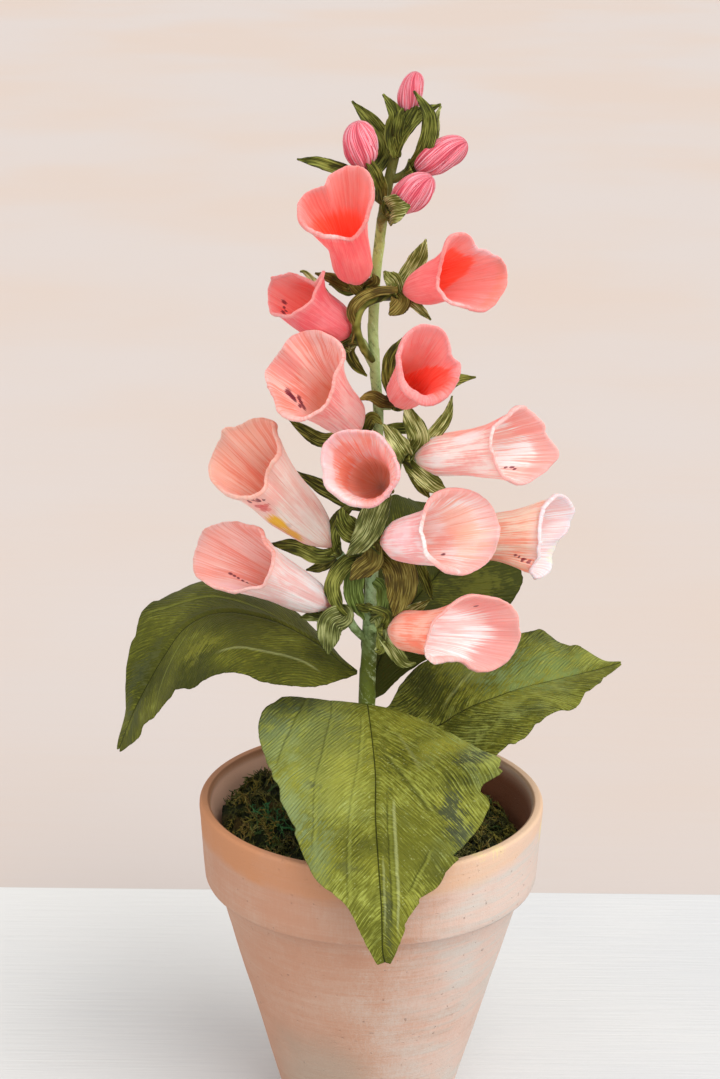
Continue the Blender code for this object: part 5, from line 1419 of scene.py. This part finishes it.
def makeCalyx(name, finishes):
    base, axis, shoulder = flowerOf(name)
    first = across(axis, Vector((0, 1, 0)))
    length, seed = stemLook["cup"], ord(name)
    widest = min(shoulder, stemLook["cupRadius"])

    def cup(u, v):
        angle = tau * u
        radius = 0.001 if v < 0.01 else 1.15 + (widest - 0.9) * v ** 1.6
        radius += 0.12 * ringFuzz(angle, 4, v, seed) * between(v, 0, 0.1)
        centre = base + axis * (-length + (length - stemLook["overlap"]) * v)
        return centre + ringPoint(axis, first, angle, radius), (u * 14, v * length)

    bm = bmesh.new()
    addSheet(bm, 32, 8, cup, toneOrder.index("olive"))
    # slips start behind the flower, at a place that is rounded as the tables are
    root = [round(number, 1) for number in base - axis * stripLook["rootBehind"]]
    addSlips(bm, name, seed, 3, root)
    closeSeams(bm)
    node = ("bud_calyx_" if name.isdigit() else "calyx_") + name
    makePiece(node + "_crepe", bm, finishes, [node], wall=(stripLook["paper"], 0.0))


def stemFinish():
    wrap = Finish("wrappedStem", roughness=0.6, Specular_IOR_Level=0.2)
    turn, along, unused = wrap.pattern()
    place = wrap.place()
    lines = wrap.wound((turn + along / stemLook["pitch"]) * tau, along * 0.08, 1.8, 4.0, 0.65)
    mottle = wrap.speckle(place, 0.8, 4.0, 0.65, 0.4)
    patch = wrap.speckle(place, 0.16, 3.0, 0.6)
    x, y, z = wrap.parts(place)
    colour = wrap.ramp((z + (patch - 0.5) * 30) / 330.0, *stemBands)
    # mottle, with painted shade on the stem's left side and painted light on its right, less near the top
    tone = sway((lines, 2.4), (mottle, 2.4), (patch, 1.0)) + (turn * tau).cosine() * 0.25
    colour = wrap.mix((tone * -1).step(0.1, 0.8) * 0.75, colour, stemLook["dark"])
    litSideAndMottle = tone.step(0.1, 0.9) * (1 - z.step(284, 300) * 0.8)
    colour = wrap.mix(litSideAndMottle * 0.7, colour, stemLook["light"])
    return wrap.done(colour, lines * 0.7 + mottle * 0.6, stemLook["relief"])


def makeStem(wrapFinish, finishes):
    line = Path([point[:3] for point in stem])

    def radii(v):
        target = v * line.length
        for span, start, end in zip(line.spans, stem, stem[1:]):
            if target <= span:
                return start[3] + (end[3] - start[3]) * target / span
            target -= span
        return stem[-1][3]

    bm = bmesh.new()
    addTube(bm, line.points, radii, stemLook["sides"], stemLook["rings"], 1)
    for number, (name, points) in enumerate(stalks.items()):
        base, axis, shoulder = flowerOf(name)
        last = base - axis * (stemLook["cup"] - 0.4)
        # the long stalk of b is bare olive paper, a little slimmer
        wide, look = (1.3, 1) if name == "b" else (stemLook["stalk"], 0)
        addTube(bm, points + [last - axis * 1.8, last], lambda v, wide=wide: wide * (0.85 + 0.3 * v),
                stemLook["stalkSides"], 26 + 6 * len(points), number + 3, look)
    bmesh.ops.holes_fill(bm, edges=openEdges(bm), sides=0)
    turnOut(bm)
    makePiece("stem_wrapped", bm, [wrapFinish, finishes[0]], ["stem"])
    bm = bmesh.new()
    addSlips(bm, "s", 0, 2.3)
    makePiece("stem_bracts", bm, finishes, wall=(stripLook["paper"], 0.0))


stripPapers = [stripFinish(name + "Crepe", *tones) for name, tones in stripTones.items()]
for name in list(bells) + list(buds):
    makeCalyx(name, stripPapers)
makeStem(stemFinish(), stripPapers)
print("stem, calyxes and bracts made")


# floor, light and camera
# the board's back edge is this far behind the pot, in metres, as all sizes here
# the board's second colour serves its blotches and, more towards the right, painted shade
stage = dict(board=(0.700, 0.705, 0.700), boardTintAndShade=(0.580, 0.600, 0.625),
             floor=(0.580, 0.525, 0.500), blush=(0.592, 0.502, 0.448), floorSize=4.0,
             boardSize=(1.9, 1.05, 0.0055), boardBack=0.15, bevel=0.0015)
# lights: where from, how broad in degrees, power, colour
lighting = dict(window=((1.4, -1.2, 1.9), 60, 2.55, (1.0, 0.975, 0.94)),
                fill=((-1.5, -1.8, 1.2), 80, 0.95, (0.97, 0.98, 1.0)),
                air=(1.0, 0.97, 0.95), airPower=0.68)
# focal: in heights of the picture; tilt: down from level, in degrees
view = dict(place=(-0.0045, -0.7054, 0.4252), tilt=18.13, roll=0.6, sensor=36.0, focal=2398 / 1079)


def paintedFinish(name, colour, second, scale, depth, lean):
    paint = Finish(name, roughness=0.7, Specular_IOR_Level=0.2)
    place = paint.place()
    x, y, z = paint.parts(place)
    brush = paint.speckle(paint.vector(x * 0.02, y * 0.4, z), scale, 4.0, 0.6)
    cloud = paint.speckle(place, 0.0022, 3.0)
    # lean: more of the second colour towards +x; on the board this is painted shade
    tone = (brush - 0.5) * 0.12 + cloud + x * lean
    return paint.done(paint.mix(tone.step(0.35, 0.65), colour, second), brush, depth)


def makeStage():
    bm = bmesh.new()
    bmesh.ops.create_grid(bm, x_segments=1, y_segments=1, size=stage["floorSize"])
    bmesh.ops.translate(bm, verts=bm.verts, vec=(0, 0, -0.006))
    floor = makeObject("floor", makeMesh("floor", bm), [
        paintedFinish("paleFloor", stage["floor"], stage["blush"], 0.6, 0.1, 0.0)])
    bm = bmesh.new()
    bmesh.ops.create_cube(bm, size=1.0)
    wide, deep, thick = stage["boardSize"]
    bmesh.ops.scale(bm, vec=(wide, deep, thick), verts=bm.verts)
    # its top is a hair under the pot
    bmesh.ops.translate(bm, verts=bm.verts, vec=(0, stage["boardBack"] - deep / 2, -thick / 2 - 0.0001))
    bmesh.ops.bevel(bm, geom=bm.edges, offset=stage["bevel"], offset_type="OFFSET", segments=3,
                    profile=0.5, affect="EDGES", material=-1)
    board = makeObject("board", makeMesh("board", bm), [
        paintedFinish("paintedBoard", stage["board"], stage["boardTintAndShade"], 1.2, 0.25, 0.0008)])


def addLight(name, place, spread, power, colour):
    # a broad, far light that shines on the pot from a place
    light = bpy.data.lights.new(name, "SUN")
    light.angle = math.radians(spread)
    light.energy = power
    light.color = colour
    lamp = bpy.data.objects.new(name, light)
    lamp.location = place
    lamp.rotation_euler = (-Vector(place)).to_track_quat("-Z", "Y").to_euler()
    bpy.context.scene.collection.objects.link(lamp)


def addCamera():
    camera = bpy.data.cameras.new("camera")
    camera.sensor_fit = "VERTICAL"
    camera.sensor_height = view["sensor"]
    camera.sensor_width = view["sensor"]
    camera.lens = view["sensor"] * view["focal"]
    holder = bpy.data.objects.new("camera", camera)
    holder.matrix_world = (Matrix.Translation(view["place"])
                           @ Matrix.Rotation(math.radians(90 - view["tilt"]), 4, "X")
                           @ Matrix.Rotation(math.radians(view["roll"]), 4, "Z"))
    bpy.context.scene.collection.objects.link(holder)
    bpy.context.scene.camera = holder


makeStage()
for name in ("window", "fill"):
    addLight(name, *lighting[name])
world = bpy.data.worlds.new("room")
world.use_nodes = True
background = world.node_tree.nodes["Background"]
connect(world.node_tree, background.inputs[0], lighting["air"])
connect(world.node_tree, background.inputs[1], lighting["airPower"])
bpy.context.scene.world = world
bpy.context.scene.view_settings.view_transform = "Standard"
addCamera()
print("stage set")
